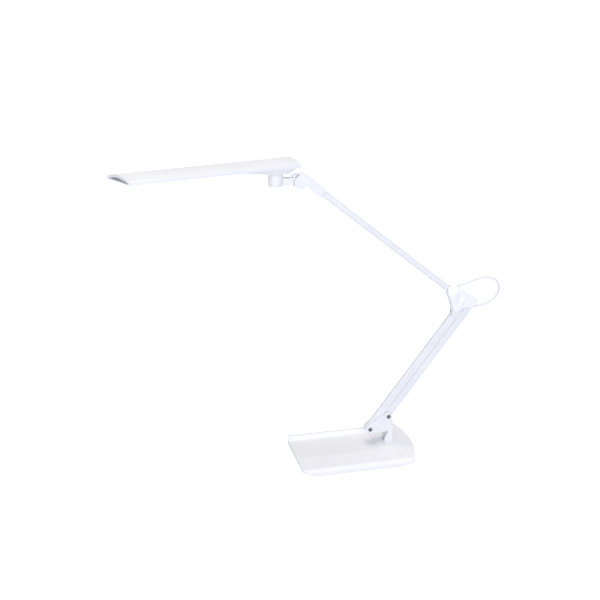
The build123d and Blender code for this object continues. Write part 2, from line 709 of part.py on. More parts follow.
def elbow_wall():
    """Wall that closes the elbow's left side between its plates, clear of the arm and the front bar."""
    inset = COVER_MARGIN + REAR_INSET
    band = elbow_inset(inset) - elbow_inset(inset + COVER_WALL)
    height = ELBOW_RISE - WALL_DROP
    region = Rectangle(BAR_LENGTH, height, align=(Align.MAX, Align.MIN))
    band &= Pos(FRONT_TOP.X - ELBOW_LUG, FRONT_TOP.Z) * region
    band -= Pos(FRONT_TOP.X, FRONT_TOP.Z) * Circle(BAR_HEAD + 3 * SLIDE_GAP)
    band -= Pos(ELBOW.X, ELBOW.Z) * Circle(ROOT_RADIUS + SLIDE_GAP)
    return slab(band, ARM_Y - PLATE_OUTER, ARM_Y + CHEEK_INNER)


def elbow_plate(side):
    """Moulded plate at one side of the elbow, with a lug down to the front bar. Side is -1 or 1."""
    faces = sorted((ARM_Y + side * CHEEK_INNER, ARM_Y + side * PLATE_OUTER))
    outline = elbow_inset(COVER_MARGIN)
    if side > 0:
        outline = elbow_inset(COVER_MARGIN + REAR_INSET) & under_arm()
    outline += Pos(FRONT_TOP.X, FRONT_TOP.Z) * Circle(ELBOW_LUG)
    outline += Pos(FRONT_TOP.X, FRONT_TOP.Z + 2 * ELBOW_LUG) * Rectangle(2 * ELBOW_LUG, 4 * ELBOW_LUG)
    plate = slab(outline, *faces)
    if side < 0:
        plate += elbow_wall()
    for pivot in (FRONT_TOP, REAR_TOP):
        plate -= disc(pivot, PIN_RADIUS + PRESS_FIT, -BASE_DEPTH, BASE_DEPTH)
    return plate - disc(ELBOW, ELBOW_BOLT_RADIUS + PRESS_FIT, -BASE_DEPTH, BASE_DEPTH)


def elbow_front_cover():
    """Moulded front cover of the elbow: a hollow three-lobed cap with a domed boss and a hollow."""
    back = ARM_Y - PLATE_OUTER
    front = back - ELBOW_COVER
    cover = slab(elbow_outline(), front, back)
    cover = fillet(cover.faces().sort_by(Axis.Y)[0].edges(), COVER_EDGE)
    boss = disc(ELBOW + Vector(BOSS_X, 0, BOSS_Z), BOSS_RADIUS, front - BOSS_HEIGHT, back)
    cover += fillet(boss.faces().sort_by(Axis.Y)[0].edges(), BOSS_HEIGHT)
    return cover - slab(elbow_inset(2 * COVER_WALL), front + COVER_WALL, back)


def elbow_rear_cover():
    """Round moulded cap over the elbow's nut."""
    front = ARM_Y + PLATE_OUTER
    back = front + ELBOW_REAR_COVER
    cover = disc(ELBOW, NUT_CAP_RADIUS, front, back)
    cover = fillet(cover.faces().sort_by(Axis.Y)[-1].edges(), COVER_WALL)
    return cover - disc(ELBOW, NUT_CAP_RADIUS - COVER_WALL, front, back - COVER_WALL)


def elbow_pins():
    """Two pins pressed into the elbow's plates, on which the bars' upper ends turn."""
    pins = Part()
    for pivot in (FRONT_TOP, REAR_TOP):
        pins += disc(pivot, PIN_RADIUS, ARM_Y - PLATE_OUTER, ARM_Y + PLATE_OUTER)
    return pins


def elbow_bolt():
    """Bolt through both plates, on which the upper arm folds."""
    front = ARM_Y - PLATE_OUTER
    bolt = disc(ELBOW, ELBOW_HEAD_RADIUS, front - ELBOW_HEAD, front)
    return bolt + disc(ELBOW, ELBOW_BOLT_RADIUS, front, ARM_Y + PLATE_OUTER + ELBOW_NUT)


def elbow_nut():
    """Nut that sets the elbow's friction."""
    front = ARM_Y + PLATE_OUTER
    hole = ELBOW_BOLT_RADIUS + PRESS_FIT
    return hexagon_nut(ELBOW, ELBOW_HEAD_RADIUS, hole, front, front + ELBOW_NUT)


# Cables

def cable_path(pivot, route):
    """Straight runs joined by tangent arcs, each arc as large as its two runs allow."""
    points = [pivot + Vector(x, 0, z) for x, z in route]
    radii = []
    for before, here, after in zip(points, points[1:], points[2:]):
        turn = (here - before).get_angle(after - here)
        run = min((here - before).length, (after - here).length)
        half = radians(turn / 2)
        radii.append(0.45 * run * cos(half) / sin(half))
    print("cable radii", [round(r, 1) for r in radii])
    return FilletPolyline(*points, radius=radii)


def cable(pivot, route, diameter):
    """A round cable along its route; its volume is printed beside its section times its length."""
    path = cable_path(pivot, route)
    section = Plane(origin=path @ 0, z_dir=path % 0) * Circle(diameter / 2)
    tube = sweep(section, path=path)
    expected = pi * diameter**2 / 4 * path.length
    print("cable length", round(path.length, 1), "volume", round(tube.volume), "expected", round(expected))
    return tube


def cable_room(pivot, route, diameter):
    """The room that a cable takes in a piece that it goes into."""
    return cable(pivot, route, diameter + 2 * CABLE_ROOM)


# Upper arm

def arm_place():
    """Where the upper arm lies: its own X runs from the elbow to the head, its Y down, its Z to the front."""
    return Plane(ELBOW, x_dir=ARM_WAY, z_dir=(0, -1, 0))


SLEEVE_START = ARM_LENGTH - SLEEVE_LENGTH
TUBE_END = SLEEVE_START + SLEEVE_SOCKET


def arm_root():
    """Moulded root of the upper arm: an eye on the elbow's bolt and a plug in the tube."""
    half = BAR_DEPTH / 2
    root = extrude(Circle(ROOT_RADIUS), half, both=True)
    side = Rectangle(TUBE_START, 2 * TUBE_RADIUS, align=(Align.MIN, Align.CENTER))
    root += rod(Vector(0, 0, 0), Vector(TUBE_START, 0, 0), TUBE_RADIUS) & extrude(side, half, both=True)
    plug = TUBE_RADIUS - TUBE_WALL - SEAT_GAP
    root += rod(Vector(TUBE_START, 0, 0), Vector(TUBE_START + ROOT_PLUG, 0, 0), plug)
    root -= extrude(Circle(ELBOW_BOLT_RADIUS + RUNNING_FIT), half, both=True)
    root = arm_place() * root
    return root - cable_room(ELBOW, ELBOW_CABLE_ROUTE, ELBOW_CABLE_DIAMETER)


def upper_arm_tube():
    """Straight aluminium tube of the upper arm."""
    start = Vector(TUBE_START, 0, 0)
    end = Vector(TUBE_END, 0, 0)
    return arm_place() * (rod(start, end, TUBE_RADIUS) - rod(start, end, TUBE_RADIUS - TUBE_WALL))


def tongue_outline(room):
    """The neck's tongue seen from the front about the tilt pivot, with room all round."""
    bar = [
        (-KNUCKLE_RADIUS - 2 * SLIDE_GAP - NECK_DEPTH, NECK_TOP + room),
        (0, NECK_TOP + room),
        (0, NECK_TOP - NECK_HEIGHT - room),
        (-KNUCKLE_RADIUS - 2 * SLIDE_GAP - NECK_DEPTH, NECK_TOP - NECK_HEIGHT - room),
    ]
    return make_face(Polyline(*bar, close=True)) + Circle(EYE_RADIUS + room)


def tilt_knuckle():
    """Moulded sleeve on the tube's end, with a forked round knuckle for the neck's tongue."""
    half = KNUCKLE_DEPTH / 2
    end = ARM_LENGTH + SLEEVE_OVERHANG
    tall = SLEEVE_HEIGHT / 2
    corners = [(SLEEVE_START, -tall), (end, -tall), (end, tall), (SLEEVE_START, tall)]
    radii = [SLEEVE_CORNER, SLEEVE_CROWN, SLEEVE_CORNER, SLEEVE_CORNER]
    sleeve = extrude(rounded(corners, radii), half, both=True)
    sides = sleeve.faces().sort_by(Axis.Z)
    sleeve = fillet(sides[0].edges() + sides[-1].edges(), SLEEVE_EDGE)
    sleeve -= rod(Vector(SLEEVE_START, 0, 0), Vector(TUBE_END, 0, 0), TUBE_RADIUS + PRESS_FIT)
    knuckle = arm_place() * sleeve
    front = ARM_Y - half
    back = ARM_Y + half
    barrel = disc(TILT, KNUCKLE_RADIUS, front, back)
    rims = barrel.faces().sort_by(Axis.Y)
    knuckle += fillet(rims[0].edges() + rims[-1].edges(), KNUCKLE_EDGE)
    slot = Sketch()
    for angle in range(-TILT_UP, TILT_DOWN + TILT_STEP, TILT_STEP):
        slot += Rot(0, 0, angle) * tongue_outline(SLIDE_GAP)
    gap = TONGUE_DEPTH / 2 + SLIDE_GAP
    knuckle -= slab(Pos(TILT.X, TILT.Z) * slot, ARM_Y - gap, ARM_Y + gap)
    knuckle -= disc(TILT, TILT_BOLT_RADIUS + PRESS_FIT, front, back)
    seat = TILT_HEAD + CAP_THICKNESS - CAP_PROUD
    knuckle -= disc(TILT, CAP_RADIUS + PRESS_FIT, front, front + seat)
    knuckle -= disc(TILT, CAP_RADIUS + PRESS_FIT, back - seat, back)
    return knuckle - cable_room(TILT, NECK_CABLE_ROUTE, NECK_CABLE_DIAMETER)


def tilt_bolt():
    """Bolt of the tilt knuckle, its head under the front cap."""
    front = ARM_Y - KNUCKLE_DEPTH / 2 + CAP_THICKNESS - CAP_PROUD
    back = ARM_Y + KNUCKLE_DEPTH / 2 - CAP_THICKNESS + CAP_PROUD
    bolt = disc(TILT, TILT_HEAD_RADIUS, front, front + TILT_HEAD)
    return bolt + disc(TILT, TILT_BOLT_RADIUS, front, back)


def tilt_nut():
    """Nut of the tilt knuckle, under the rear cap."""
    back = ARM_Y + KNUCKLE_DEPTH / 2 - CAP_THICKNESS + CAP_PROUD
    hole = TILT_BOLT_RADIUS + PRESS_FIT
    return hexagon_nut(TILT, TILT_HEAD_RADIUS, hole, back - TILT_HEAD, back)


def knuckle_cap(side):
    """Round cap pressed into one side of the knuckle, with a dimple in its middle. Side is -1 or 1."""
    face = ARM_Y + side * (KNUCKLE_DEPTH / 2 + CAP_PROUD)
    inner = face - side * CAP_THICKNESS
    cap = disc(TILT, CAP_RADIUS, min(face, inner), max(face, inner))
    outer_rim = cap.faces().sort_by(Axis.Y)[0 if side < 0 else -1].edges()
    cap = fillet(outer_rim, CAP_PROUD * 0.9)
    floor = face - side * CAP_PROUD
    return cap - disc(TILT, CAP_DIMPLE, min(face, floor), max(face, floor))


def arm_set_screws():
    """Two set screws, hidden on the underside, that hold the tube to the root and to the sleeve."""
    root_at = TUBE_START + ROOT_PLUG / 2
    root_hole = (TUBE_RADIUS - TUBE_WALL - SEAT_GAP) / 2
    sleeve_at = SLEEVE_START + SLEEVE_SOCKET / 2
    screws = rod(Vector(root_at, root_hole, 0), Vector(root_at, TUBE_RADIUS, 0), SET_SCREW_RADIUS)
    inner = TUBE_RADIUS - TUBE_WALL
    screws += rod(Vector(sleeve_at, inner, 0), Vector(sleeve_at, SLEEVE_HEIGHT / 2, 0), SET_SCREW_RADIUS)
    return arm_place() * screws


def set_screw_holes():
    """The holes of the two set screws."""
    root_at = TUBE_START + ROOT_PLUG / 2
    root_hole = (TUBE_RADIUS - TUBE_WALL - SEAT_GAP) / 2
    sleeve_at = SLEEVE_START + SLEEVE_SOCKET / 2
    radius = SET_SCREW_RADIUS + PRESS_FIT
    holes = rod(Vector(root_at, root_hole, 0), Vector(root_at, SLEEVE_HEIGHT, 0), radius)
    inner = TUBE_RADIUS - TUBE_WALL
    holes += rod(Vector(sleeve_at, inner, 0), Vector(sleeve_at, SLEEVE_HEIGHT, 0), radius)
    return arm_place() * holes


# Neck

def neck():
    """Moulded neck: a tongue in the knuckle, a short bar and the round post that carries the head."""
    bottom = POST.Z + POST_BOTTOM
    top = POST.Z + POST_TOP
    post = upright(POST.X, POST.Y, POST_RADIUS, bottom, top)
    post = fillet(post.faces().sort_by(Axis.Z)[0].edges(), POST_EDGE)
    bar_end = TILT.X - KNUCKLE_RADIUS - 2 * SLIDE_GAP
    low = (POST.X, ARM_Y - NECK_DEPTH / 2, TILT.Z + NECK_TOP - NECK_HEIGHT)
    high = (bar_end, ARM_Y + NECK_DEPTH / 2, TILT.Z + NECK_TOP)
    bar = block(low, high)
    bar = fillet(bar.edges().filter_by(Axis.X), NECK_EDGE)
    tongue = slab(
        Pos(TILT.X, TILT.Z) * tongue_outline(0), ARM_Y - TONGUE_DEPTH / 2, ARM_Y + TONGUE_DEPTH / 2
    )
    body = post + bar + tongue
    body -= disc(TILT, TILT_BOLT_RADIUS + RUNNING_FIT, 0, BASE_DEPTH)
    body -= upright(POST.X, POST.Y, SHAFT_RADIUS + RUNNING_FIT, bottom, top)
    body -= upright(POST.X, POST.Y, POST_CAP_RADIUS + PRESS_FIT, bottom, bottom + POST_CAP + NUT_POCKET)
    return body - cable_room(TILT, NECK_CABLE_ROUTE, NECK_CABLE_DIAMETER)


def post_cap():
    """Disc that closes the post from below."""
    bottom = POST.Z + POST_BOTTOM
    return upright(POST.X, POST.Y, POST_CAP_RADIUS, bottom, bottom + POST_CAP)


# Head. Its own U runs from the post to the free end, its V to the front, its W up.

def head_place(piece):
    """Puts a piece made about the post's axis, with U along +X, at the head's heading."""
    heading = Vector(-cos(radians(HEAD_YAW)), -sin(radians(HEAD_YAW)), 0)
    return Plane((POST.X, POST.Y, 0), x_dir=heading, z_dir=(0, 0, 1)) * piece


INNER_HALF = HEAD_WIDTH / 2 - RIM_WALL
FRAME_HALF = INNER_HALF - SEAT_GAP
FRAME_START = -HEAD_TAIL + TAIL_RECESS
FRAME_END = HEAD_REACH - END_RECESS
WINDOW_END = FRAME_END - WINDOW_MARGIN
INNER_CROWN = CROWN - ARCH_THICKNESS
BOARD_START = BUTTON_U - 2 * BUTTON_RADIUS
BOARD_END = WINDOW_END
SPREADER_TOP = INNER_CROWN - SLIDE_GAP - SPREADER_THICKNESS
BOARD_TOP = SPREADER_TOP - SPREADER_THICKNESS
BOARD_BOTTOM = BOARD_TOP - BOARD_THICKNESS


def arch(half, bottom, edge, crown):
    """A head section: straight sides up to an edge, then an arch over to the other side."""
    lines = [
        Line((-half, edge), (-half, bottom)),
        Line((-half, bottom), (half, bottom)),
        Line((half, bottom), (half, edge)),
        ThreePointArc((half, edge), (0, crown), (-half, edge)),
    ]
    return make_face(lines)


def hollow(room):
    """Section of the room under the head's arch, drawn in by a room at the top and sides."""
    edge = RIM_BOTTOM + RIM_INNER
    return arch(INNER_HALF - room, RIM_BOTTOM - RIM_HEIGHT, edge - room, INNER_CROWN - room)


END_SCREW_U = FRAME_END - FRAME_WALL - HEAD_BOSS_RADIUS - SEAT_GAP
SHELL_SCREWS = [(u, v) for u in (CHIN_TOP_LENGTH, END_SCREW_U) for v in (-HEAD_SCREW_V, HEAD_SCREW_V)]


def beyond_free_end():
    """Everything past the head's free end, which is cut at a slant so that the rear side is longer."""
    far = 2 * (HEAD_REACH + END_SKEW)
    corners = [
        (HEAD_REACH - END_SKEW / 2, HEAD_WIDTH),
        (HEAD_REACH + 3 * END_SKEW / 2, -HEAD_WIDTH),
        (far, -HEAD_WIDTH),
        (far, HEAD_WIDTH),
    ]
    return extrude(make_face(Polyline(*corners, close=True)), 2 * CROWN)


def head_top_shell():
    """Arched top of the head, open at both ends, with four screw bosses inside."""
    outline = arch(HEAD_WIDTH / 2, RIM_BOTTOM, RIM_BOTTOM + RIM_HEIGHT, CROWN)
    corners = outline.vertices().sort_by(Axis.Y)
    outline = fillet(corners[2:], SHELL_EDGE)
    corners = outline.vertices().sort_by(Axis.Y)
    outline = fillet(corners[:2], SHELL_FOOT)
    tip = HEAD_REACH + END_SKEW
    outer = prism(outline, -HEAD_TAIL, tip) - beyond_free_end()
    ends = outer.faces().sort_by(Axis.X)
    outer = fillet(ends[0].edges(), SHELL_END_EDGE)
    outer = fillet(outer.faces().sort_by(Axis.X)[-1].edges(), SHELL_FOOT / 2)
    end_opening = arch(INNER_HALF, 0, RIM_BOTTOM + RIM_INNER, CROWN - END_BAND)
    shell = outer - prism(end_opening, -HEAD_TAIL, tip)
    shell -= prism(hollow(0), FRAME_START - SEAT_GAP, FRAME_END + SEAT_GAP)
    for u in (BOARD_START + BOARD_WIDTH, (BOARD_START + BOARD_END) / 2, BOARD_END - BOARD_WIDTH):
        shell += upright(u, 0, HEAD_BOSS_RADIUS, SPREADER_TOP, CROWN) & outer
    for u, v in SHELL_SCREWS:
        shell += upright(u, v, HEAD_BOSS_RADIUS, FRAME_TOP, CROWN) & outer
        shell -= upright(u, v, HEAD_SCREW_RADIUS + PRESS_FIT, FRAME_TOP, FRAME_BOTTOM + HEAD_SCREW_LENGTH)
    return head_place(shell)


def head_bottom_frame():
    """Frame that closes the head from below and holds the diffuser; its end walls fill the arch.

    A thin tongue runs on from it to the slanted free end, under the open arch.
    """
    frame = block((FRAME_START, -FRAME_HALF, FRAME_BOTTOM), (FRAME_END, FRAME_HALF, FRAME_TOP))
    keep = block((FRAME_START, -HEAD_WIDTH, FRAME_BOTTOM), (FRAME_END, HEAD_WIDTH, CROWN))
    for start in (FRAME_START, FRAME_END - FRAME_WALL):
        frame += prism(hollow(SEAT_GAP), start, start + FRAME_WALL) & keep
    tongue = block((FRAME_END - FRAME_WALL, -FRAME_HALF, FRAME_BOTTOM),
                   (HEAD_REACH + END_SKEW, FRAME_HALF, FRAME_BOTTOM + TONGUE_THICKNESS))
    frame += tongue - Pos(-TONGUE_RECESS, 0, 0) * beyond_free_end()
    half = WINDOW_WIDTH / 2
    frame -= block((WINDOW_START, -half, 0), (WINDOW_END, half, FRAME_TOP))
    lip_top = FRAME_TOP - DIFFUSER_THICKNESS
    frame -= block((WINDOW_START - DIFFUSER_LIP, -half - DIFFUSER_LIP, lip_top),
                   (WINDOW_END + DIFFUSER_LIP, half + DIFFUSER_LIP, FRAME_TOP))
    frame -= upright(0, 0, SHAFT_FLANGE_RADIUS, 0, FRAME_TOP)
    frame -= upright(BUTTON_U, 0, BUTTON_RADIUS + SLIDE_GAP, 0, FRAME_TOP)
    for u, v in SHELL_SCREWS:
        frame -= upright(u, v, HEAD_SCREW_RADIUS + PRESS_FIT, 0, FRAME_TOP)
        frame -= upright(u, v, HEAD_SCREW_HEAD + PRESS_FIT, 0, FRAME_BOTTOM + HEAD_SCREW_HEAD_HEIGHT)
    for v in (-CHIN_SCREW_V, CHIN_SCREW_V):
        frame -= upright(CHIN_SCREW_U, v, HEAD_SCREW_RADIUS + PRESS_FIT, 0, FRAME_TOP)
    for u in driver_posts():
        frame += upright(u, 0, DRIVER_POST, FRAME_BOTTOM - DRIVER_POST, FRAME_BOTTOM)
    return head_place(frame)


def driver_posts():
    """Places along the head of the two posts that carry the driver board."""
    reach = DRIVER_LENGTH / 2 - 2 * DRIVER_POST
    return (DRIVER_U - reach, DRIVER_U + reach)


def head_screws():
    """Four screws up through the frame into the shell's bosses."""
    screws = Part()
    for u, v in SHELL_SCREWS:
        screws += upright(u, v, HEAD_SCREW_HEAD, FRAME_BOTTOM, FRAME_BOTTOM + HEAD_SCREW_HEAD_HEIGHT)
        screws += upright(u, v, HEAD_SCREW_RADIUS, FRAME_BOTTOM, FRAME_BOTTOM + HEAD_SCREW_LENGTH)
    return head_place(screws)


def chin_body(inset):
    """The chin's wedge under the head: a small rounded bottom widening to the frame's underside."""
    bottom = CHIN_BOTTOM + inset
    low_half = CHIN_BOTTOM_RADIUS - inset
    low = Pos(0, 0, bottom) * RectangleRounded(2 * low_half, 2 * low_half, CHIN_BOTTOM_CORNER - inset)
    length = CHIN_TOP_LENGTH + CHIN_TOP_TAIL - 2 * inset
    middle = (CHIN_TOP_LENGTH - CHIN_TOP_TAIL) / 2
    high_half = FRAME_HALF - inset
    high = Pos(middle, 0, FRAME_BOTTOM) * RectangleRounded(length, 2 * high_half, CHIN_TOP_CORNER - inset)
    return loft([low, high], ruled=True)


def chin_cover():
    """Hollow chin under the head, on the post; it holds the driver board."""
    outer = chin_body(0)
    chin = outer - chin_body(CHIN_WALL)
    for v in (-CHIN_SCREW_V, CHIN_SCREW_V):
        chin += upright(CHIN_SCREW_U, v, HEAD_BOSS_RADIUS, CHIN_BOTTOM, FRAME_BOTTOM) & outer
        low = FRAME_TOP - HEAD_SCREW_LENGTH
        chin -= upright(CHIN_SCREW_U, v, HEAD_SCREW_RADIUS + PRESS_FIT, low, FRAME_TOP)
    return head_place(chin - upright(0, 0, SHAFT_RADIUS + PRESS_FIT, 0, FRAME_BOTTOM))


def chin_screws():
    """Two screws down through the frame into the chin."""
    screws = Part()
    for v in (-CHIN_SCREW_V, CHIN_SCREW_V):
        head_top = FRAME_TOP + HEAD_SCREW_HEAD_HEIGHT
        screws += upright(CHIN_SCREW_U, v, HEAD_SCREW_HEAD, FRAME_TOP, head_top)
        screws += upright(CHIN_SCREW_U, v, HEAD_SCREW_RADIUS, FRAME_TOP - HEAD_SCREW_LENGTH, head_top)
    return head_place(screws)


def diffuser():
    """Frosted panel on the window's lip, with its face down to the opening."""
    half = WINDOW_WIDTH / 2 + DIFFUSER_LIP - SEAT_GAP
    start = WINDOW_START - DIFFUSER_LIP + SEAT_GAP
    end = WINDOW_END + DIFFUSER_LIP - SEAT_GAP
    panel = block((start, -half, FRAME_TOP - DIFFUSER_THICKNESS), (end, half, FRAME_TOP))
    return head_place(panel)


def heat_spreader():
    """Aluminium strip over the LED board, under the arch."""
    half = BOARD_WIDTH / 2
    return head_place(block((BOARD_START, -half, BOARD_TOP), (BOARD_END, half, SPREADER_TOP)))


def led_board():
    """Circuit board of the light, bonded under the heat spreader."""
    half = BOARD_WIDTH / 2
    return head_place(block((BOARD_START, -half, BOARD_BOTTOM), (BOARD_END, half, BOARD_TOP)))


def led_chips():
    """Two rows of LEDs on the board's underside, above the diffuser."""
    chips = Part()
    pitch = (WINDOW_END - WINDOW_START) / LED_COUNT
    for index in range(LED_COUNT):
        u = WINDOW_START + (index + 0.5) * pitch
        for v in (-LED_ROW_OFFSET, LED_ROW_OFFSET):
            centre = Pos(u, v, BOARD_BOTTOM - LED_HEIGHT / 2)
            chips += centre * Box(LED_SIZE, LED_SIZE, LED_HEIGHT)
    return head_place(chips)


def driver_board():
    """Driver circuit on its two posts inside the chin, with a choke and a capacitor block."""
    top = FRAME_BOTTOM - DRIVER_POST
    half = DRIVER_LENGTH / 2
    side = DRIVER_WIDTH / 2
    bottom = top - DRIVER_THICKNESS
    board = block((DRIVER_U - half, -side, bottom), (DRIVER_U + half, side, top))
    low = bottom - DRIVER_POST
    board += block((DRIVER_U - half / 2, -side / 2, low), (DRIVER_U, side / 2, bottom))
    return head_place(board)


def swivel_shaft():
    """Hollow shaft through the chin's floor into the post; the wires go up its bore."""
    floor = CHIN_BOTTOM + CHIN_WALL
    end = POST.Z + POST_BOTTOM + POST_CAP + SLIDE_GAP
    shaft = upright(0, 0, SHAFT_RADIUS, end, floor)
    shaft += upright(0, 0, SHAFT_FLANGE_RADIUS, floor, floor + SHAFT_FLANGE)
    return head_place(shaft - upright(0, 0, SHAFT_BORE, 0, CROWN))


SHAFT_SHOULDER = POST.Z + POST_BOTTOM + POST_CAP + NUT_POCKET


def swivel_washer():
    """Nylon washer between the post's shoulder and the nut."""
    top = SHAFT_SHOULDER - RUNNING_FIT
    ring = upright(0, 0, SHAFT_NUT_RADIUS, top - SHAFT_WASHER, top)
    return head_place(ring - upright(0, 0, SHAFT_RADIUS + PRESS_FIT, 0, CROWN))


def swivel_nut():
    """Nut on the shaft's end, which keeps the head on the post."""
    top = SHAFT_SHOULDER - RUNNING_FIT - SHAFT_WASHER
    outline = RegularPolygon(SHAFT_NUT_RADIUS, 6) - Circle(SHAFT_RADIUS + PRESS_FIT)
    return head_place(extrude(Pos(0, 0, top - SHAFT_NUT) * outline, SHAFT_NUT))


def power_button():
    """Round push button under the head, with a flange that stops it falling out."""
    flange_bottom = FRAME_TOP + SLIDE_GAP / 2
    button = upright(BUTTON_U, 0, BUTTON_RADIUS, FRAME_BOTTOM - BUTTON_PROUD, flange_bottom)
    button = fillet(button.faces().sort_by(Axis.Z)[0].edges(), BUTTON_PROUD / 2)
    flange = BUTTON_RADIUS + SLIDE_GAP + BUTTON_FLANGE
    button += upright(BUTTON_U, 0, flange, flange_bottom, flange_bottom + BUTTON_FLANGE_THICKNESS)
    return head_place(button)


def button_switch():
    """Small switch on the LED board above the button."""
    low = FRAME_TOP + SLIDE_GAP + BUTTON_FLANGE_THICKNESS + BUTTON_TRAVEL
    half = BUTTON_RADIUS * 0.7
    return head_place(block((BUTTON_U - half, -half, low), (BUTTON_U + half, half, BOARD_BOTTOM)))


# The lamp

holes = set_screw_holes()
parts = {
    "base_top_shell": base_top_shell(),
    "base_bottom_plate": base_bottom_plate(),
    "base_weight": base_weight(),
    "non_slip_pad": non_slip_pad(),
    "base_screws": base_screws(),
    "cord_grommet": cord_grommet(),
    "bracket_front_half": bracket_half(-1),
    "bracket_rear_half": bracket_half(1),
    "bracket_screws": bracket_screws(),
    "bracket_tie_screw": bracket_tie_screw(),
    "lower_pivot_screws": lower_pivot_screws(),
    "lower_pivot_nuts": lower_pivot_nuts(),
    "front_bar_tube": bar_tube(FRONT_PIVOT),
    "front_bar_lower_end": bar_end(FRONT_PIVOT, False, False),
    "front_bar_upper_end": bar_end(FRONT_PIVOT, True, False),
    "front_bar_bushes": bar_bushes(FRONT_PIVOT),
    "rear_bar_tube": bar_tube(REAR_PIVOT),
    "rear_bar_lower_end": bar_end(REAR_PIVOT, False, False),
    "rear_bar_upper_end": bar_end(REAR_PIVOT, True, True),
    "rear_bar_bushes": bar_bushes(REAR_PIVOT),
    "elbow_front_plate": elbow_plate(-1),
    "elbow_rear_plate": elbow_plate(1),
    "elbow_front_cover": elbow_front_cover(),
    "elbow_rear_cover": elbow_rear_cover(),
    "elbow_pins": elbow_pins(),
    "elbow_bolt": elbow_bolt(),
    "elbow_nut": elbow_nut(),
    "elbow_cable": cable(ELBOW, ELBOW_CABLE_ROUTE, ELBOW_CABLE_DIAMETER),
    "arm_root": arm_root() - holes,
    "upper_arm_tube": upper_arm_tube() - holes,
    "tilt_knuckle": tilt_knuckle() - holes,
    "tilt_bolt": tilt_bolt(),
    "tilt_nut": tilt_nut(),
    "knuckle_front_cap": knuckle_cap(-1),
    "knuckle_rear_cap": knuckle_cap(1),
    "arm_set_screws": arm_set_screws(),
    "neck": neck(),
    "post_cap": post_cap(),
    "neck_cable": cable(TILT, NECK_CABLE_ROUTE, NECK_CABLE_DIAMETER),
    "head_top_shell": head_top_shell(),
    "head_bottom_frame": head_bottom_frame(),
    "head_screws": head_screws(),
    "chin_cover": chin_cover(),
    "chin_screws": chin_screws(),
    "diffuser": diffuser(),
    "heat_spreader": heat_spreader(),
    "led_board": led_board(),
    "led_chips": led_chips(),
    "driver_board": driver_board(),
    "swivel_shaft": swivel_shaft(),
    "swivel_washer": swivel_washer(),
    "swivel_nut": swivel_nut(),
    "power_button": power_button(),
    "button_switch": button_switch(),
}

os.makedirs("parts", exist_ok=True)
for name, solid in parts.items():
    export_step(solid, f"parts/{name}.step")
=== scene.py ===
import json

import bpy
import numpy as np
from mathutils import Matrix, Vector


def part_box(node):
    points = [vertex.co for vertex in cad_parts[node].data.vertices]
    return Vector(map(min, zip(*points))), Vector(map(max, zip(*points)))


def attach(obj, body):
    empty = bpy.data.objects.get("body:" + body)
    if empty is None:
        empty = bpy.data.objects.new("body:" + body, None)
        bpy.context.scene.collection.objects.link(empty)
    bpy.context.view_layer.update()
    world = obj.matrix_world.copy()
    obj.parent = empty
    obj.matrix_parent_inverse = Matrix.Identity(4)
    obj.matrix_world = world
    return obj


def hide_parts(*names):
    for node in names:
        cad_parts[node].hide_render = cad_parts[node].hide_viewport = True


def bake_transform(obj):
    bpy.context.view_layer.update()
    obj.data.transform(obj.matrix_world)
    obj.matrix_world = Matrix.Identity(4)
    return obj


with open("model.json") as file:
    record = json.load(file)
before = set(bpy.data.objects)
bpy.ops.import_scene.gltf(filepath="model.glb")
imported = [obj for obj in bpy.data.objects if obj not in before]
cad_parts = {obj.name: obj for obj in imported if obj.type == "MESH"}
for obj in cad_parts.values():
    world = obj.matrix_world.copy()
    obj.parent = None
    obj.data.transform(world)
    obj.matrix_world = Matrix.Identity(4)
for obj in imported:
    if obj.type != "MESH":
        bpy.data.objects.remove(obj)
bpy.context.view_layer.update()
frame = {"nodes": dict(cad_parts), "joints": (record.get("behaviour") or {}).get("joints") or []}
MM_PER_METRE = 1000.0

# Base shell: one white moulding with a pen tray behind a rounded front lip.
# It is ABS from a polished tool with a light spark texture, so it shines softly, and it is held by
# screws from underneath, so the top shows no fastener. Pens have left fine scuffs on the tray's floor.


def srgb(code):
    """A colour written as an sRGB hex value, turned to the linear values that shaders use."""
    parts = np.array([int(code[i:i + 2], 16) for i in (1, 3, 5)]) / 255.0
    linear = np.where(parts <= 0.04045, parts / 12.92, ((parts + 0.055) / 1.055) ** 2.4)
    return (*linear.tolist(), 1.0)


def add(tree, kind, links=None, **settings):
    """Adds a node, sets its properties, and links or sets each named input."""
    node = tree.nodes.new(kind)
    for name, value in settings.items():
        setattr(node, name, value)
    for socket, source in (links or {}).items():
        if isinstance(source, bpy.types.NodeSocket):
            tree.links.new(source, node.inputs[socket])
        else:
            node.inputs[socket].default_value = source
    return node


def new_material(name):
    """An empty node material: its tree, its surface shader and its object coordinates."""
    material = bpy.data.materials.new(name)
    material.use_nodes = True
    tree = material.node_tree
    shader = tree.nodes["Principled BSDF"]
    place = add(tree, "ShaderNodeTexCoord").outputs["Object"]
    return material, tree, shader, place


def per_mm(size):
    """The scale that gives a pattern features of this many millimetres, on coordinates in metres."""
    return MM_PER_METRE / size


def two_tone(tree, shader, factor, dark, light, low=0.0, high=1.0):
    """Colours a surface between two tones as a pattern goes from low to high."""
    tone = add(tree, "ShaderNodeValToRGB", {"Fac": factor})
    tone.color_ramp.elements[0].color = srgb(dark)
    tone.color_ramp.elements[0].position = low
    tone.color_ramp.elements[1].color = srgb(light)
    tone.color_ramp.elements[1].position = high
    tree.links.new(tone.outputs["Color"], shader.inputs["Base Color"])


def emboss(tree, shader, height, strength, depth_mm):
    """Raises a surface by a pattern, this many millimetres deep at full strength."""
    depth = depth_mm / MM_PER_METRE
    bump = add(tree, "ShaderNodeBump", {"Height": height, "Strength": strength, "Distance": depth})
    tree.links.new(bump.outputs["Normal"], shader.inputs["Normal"])


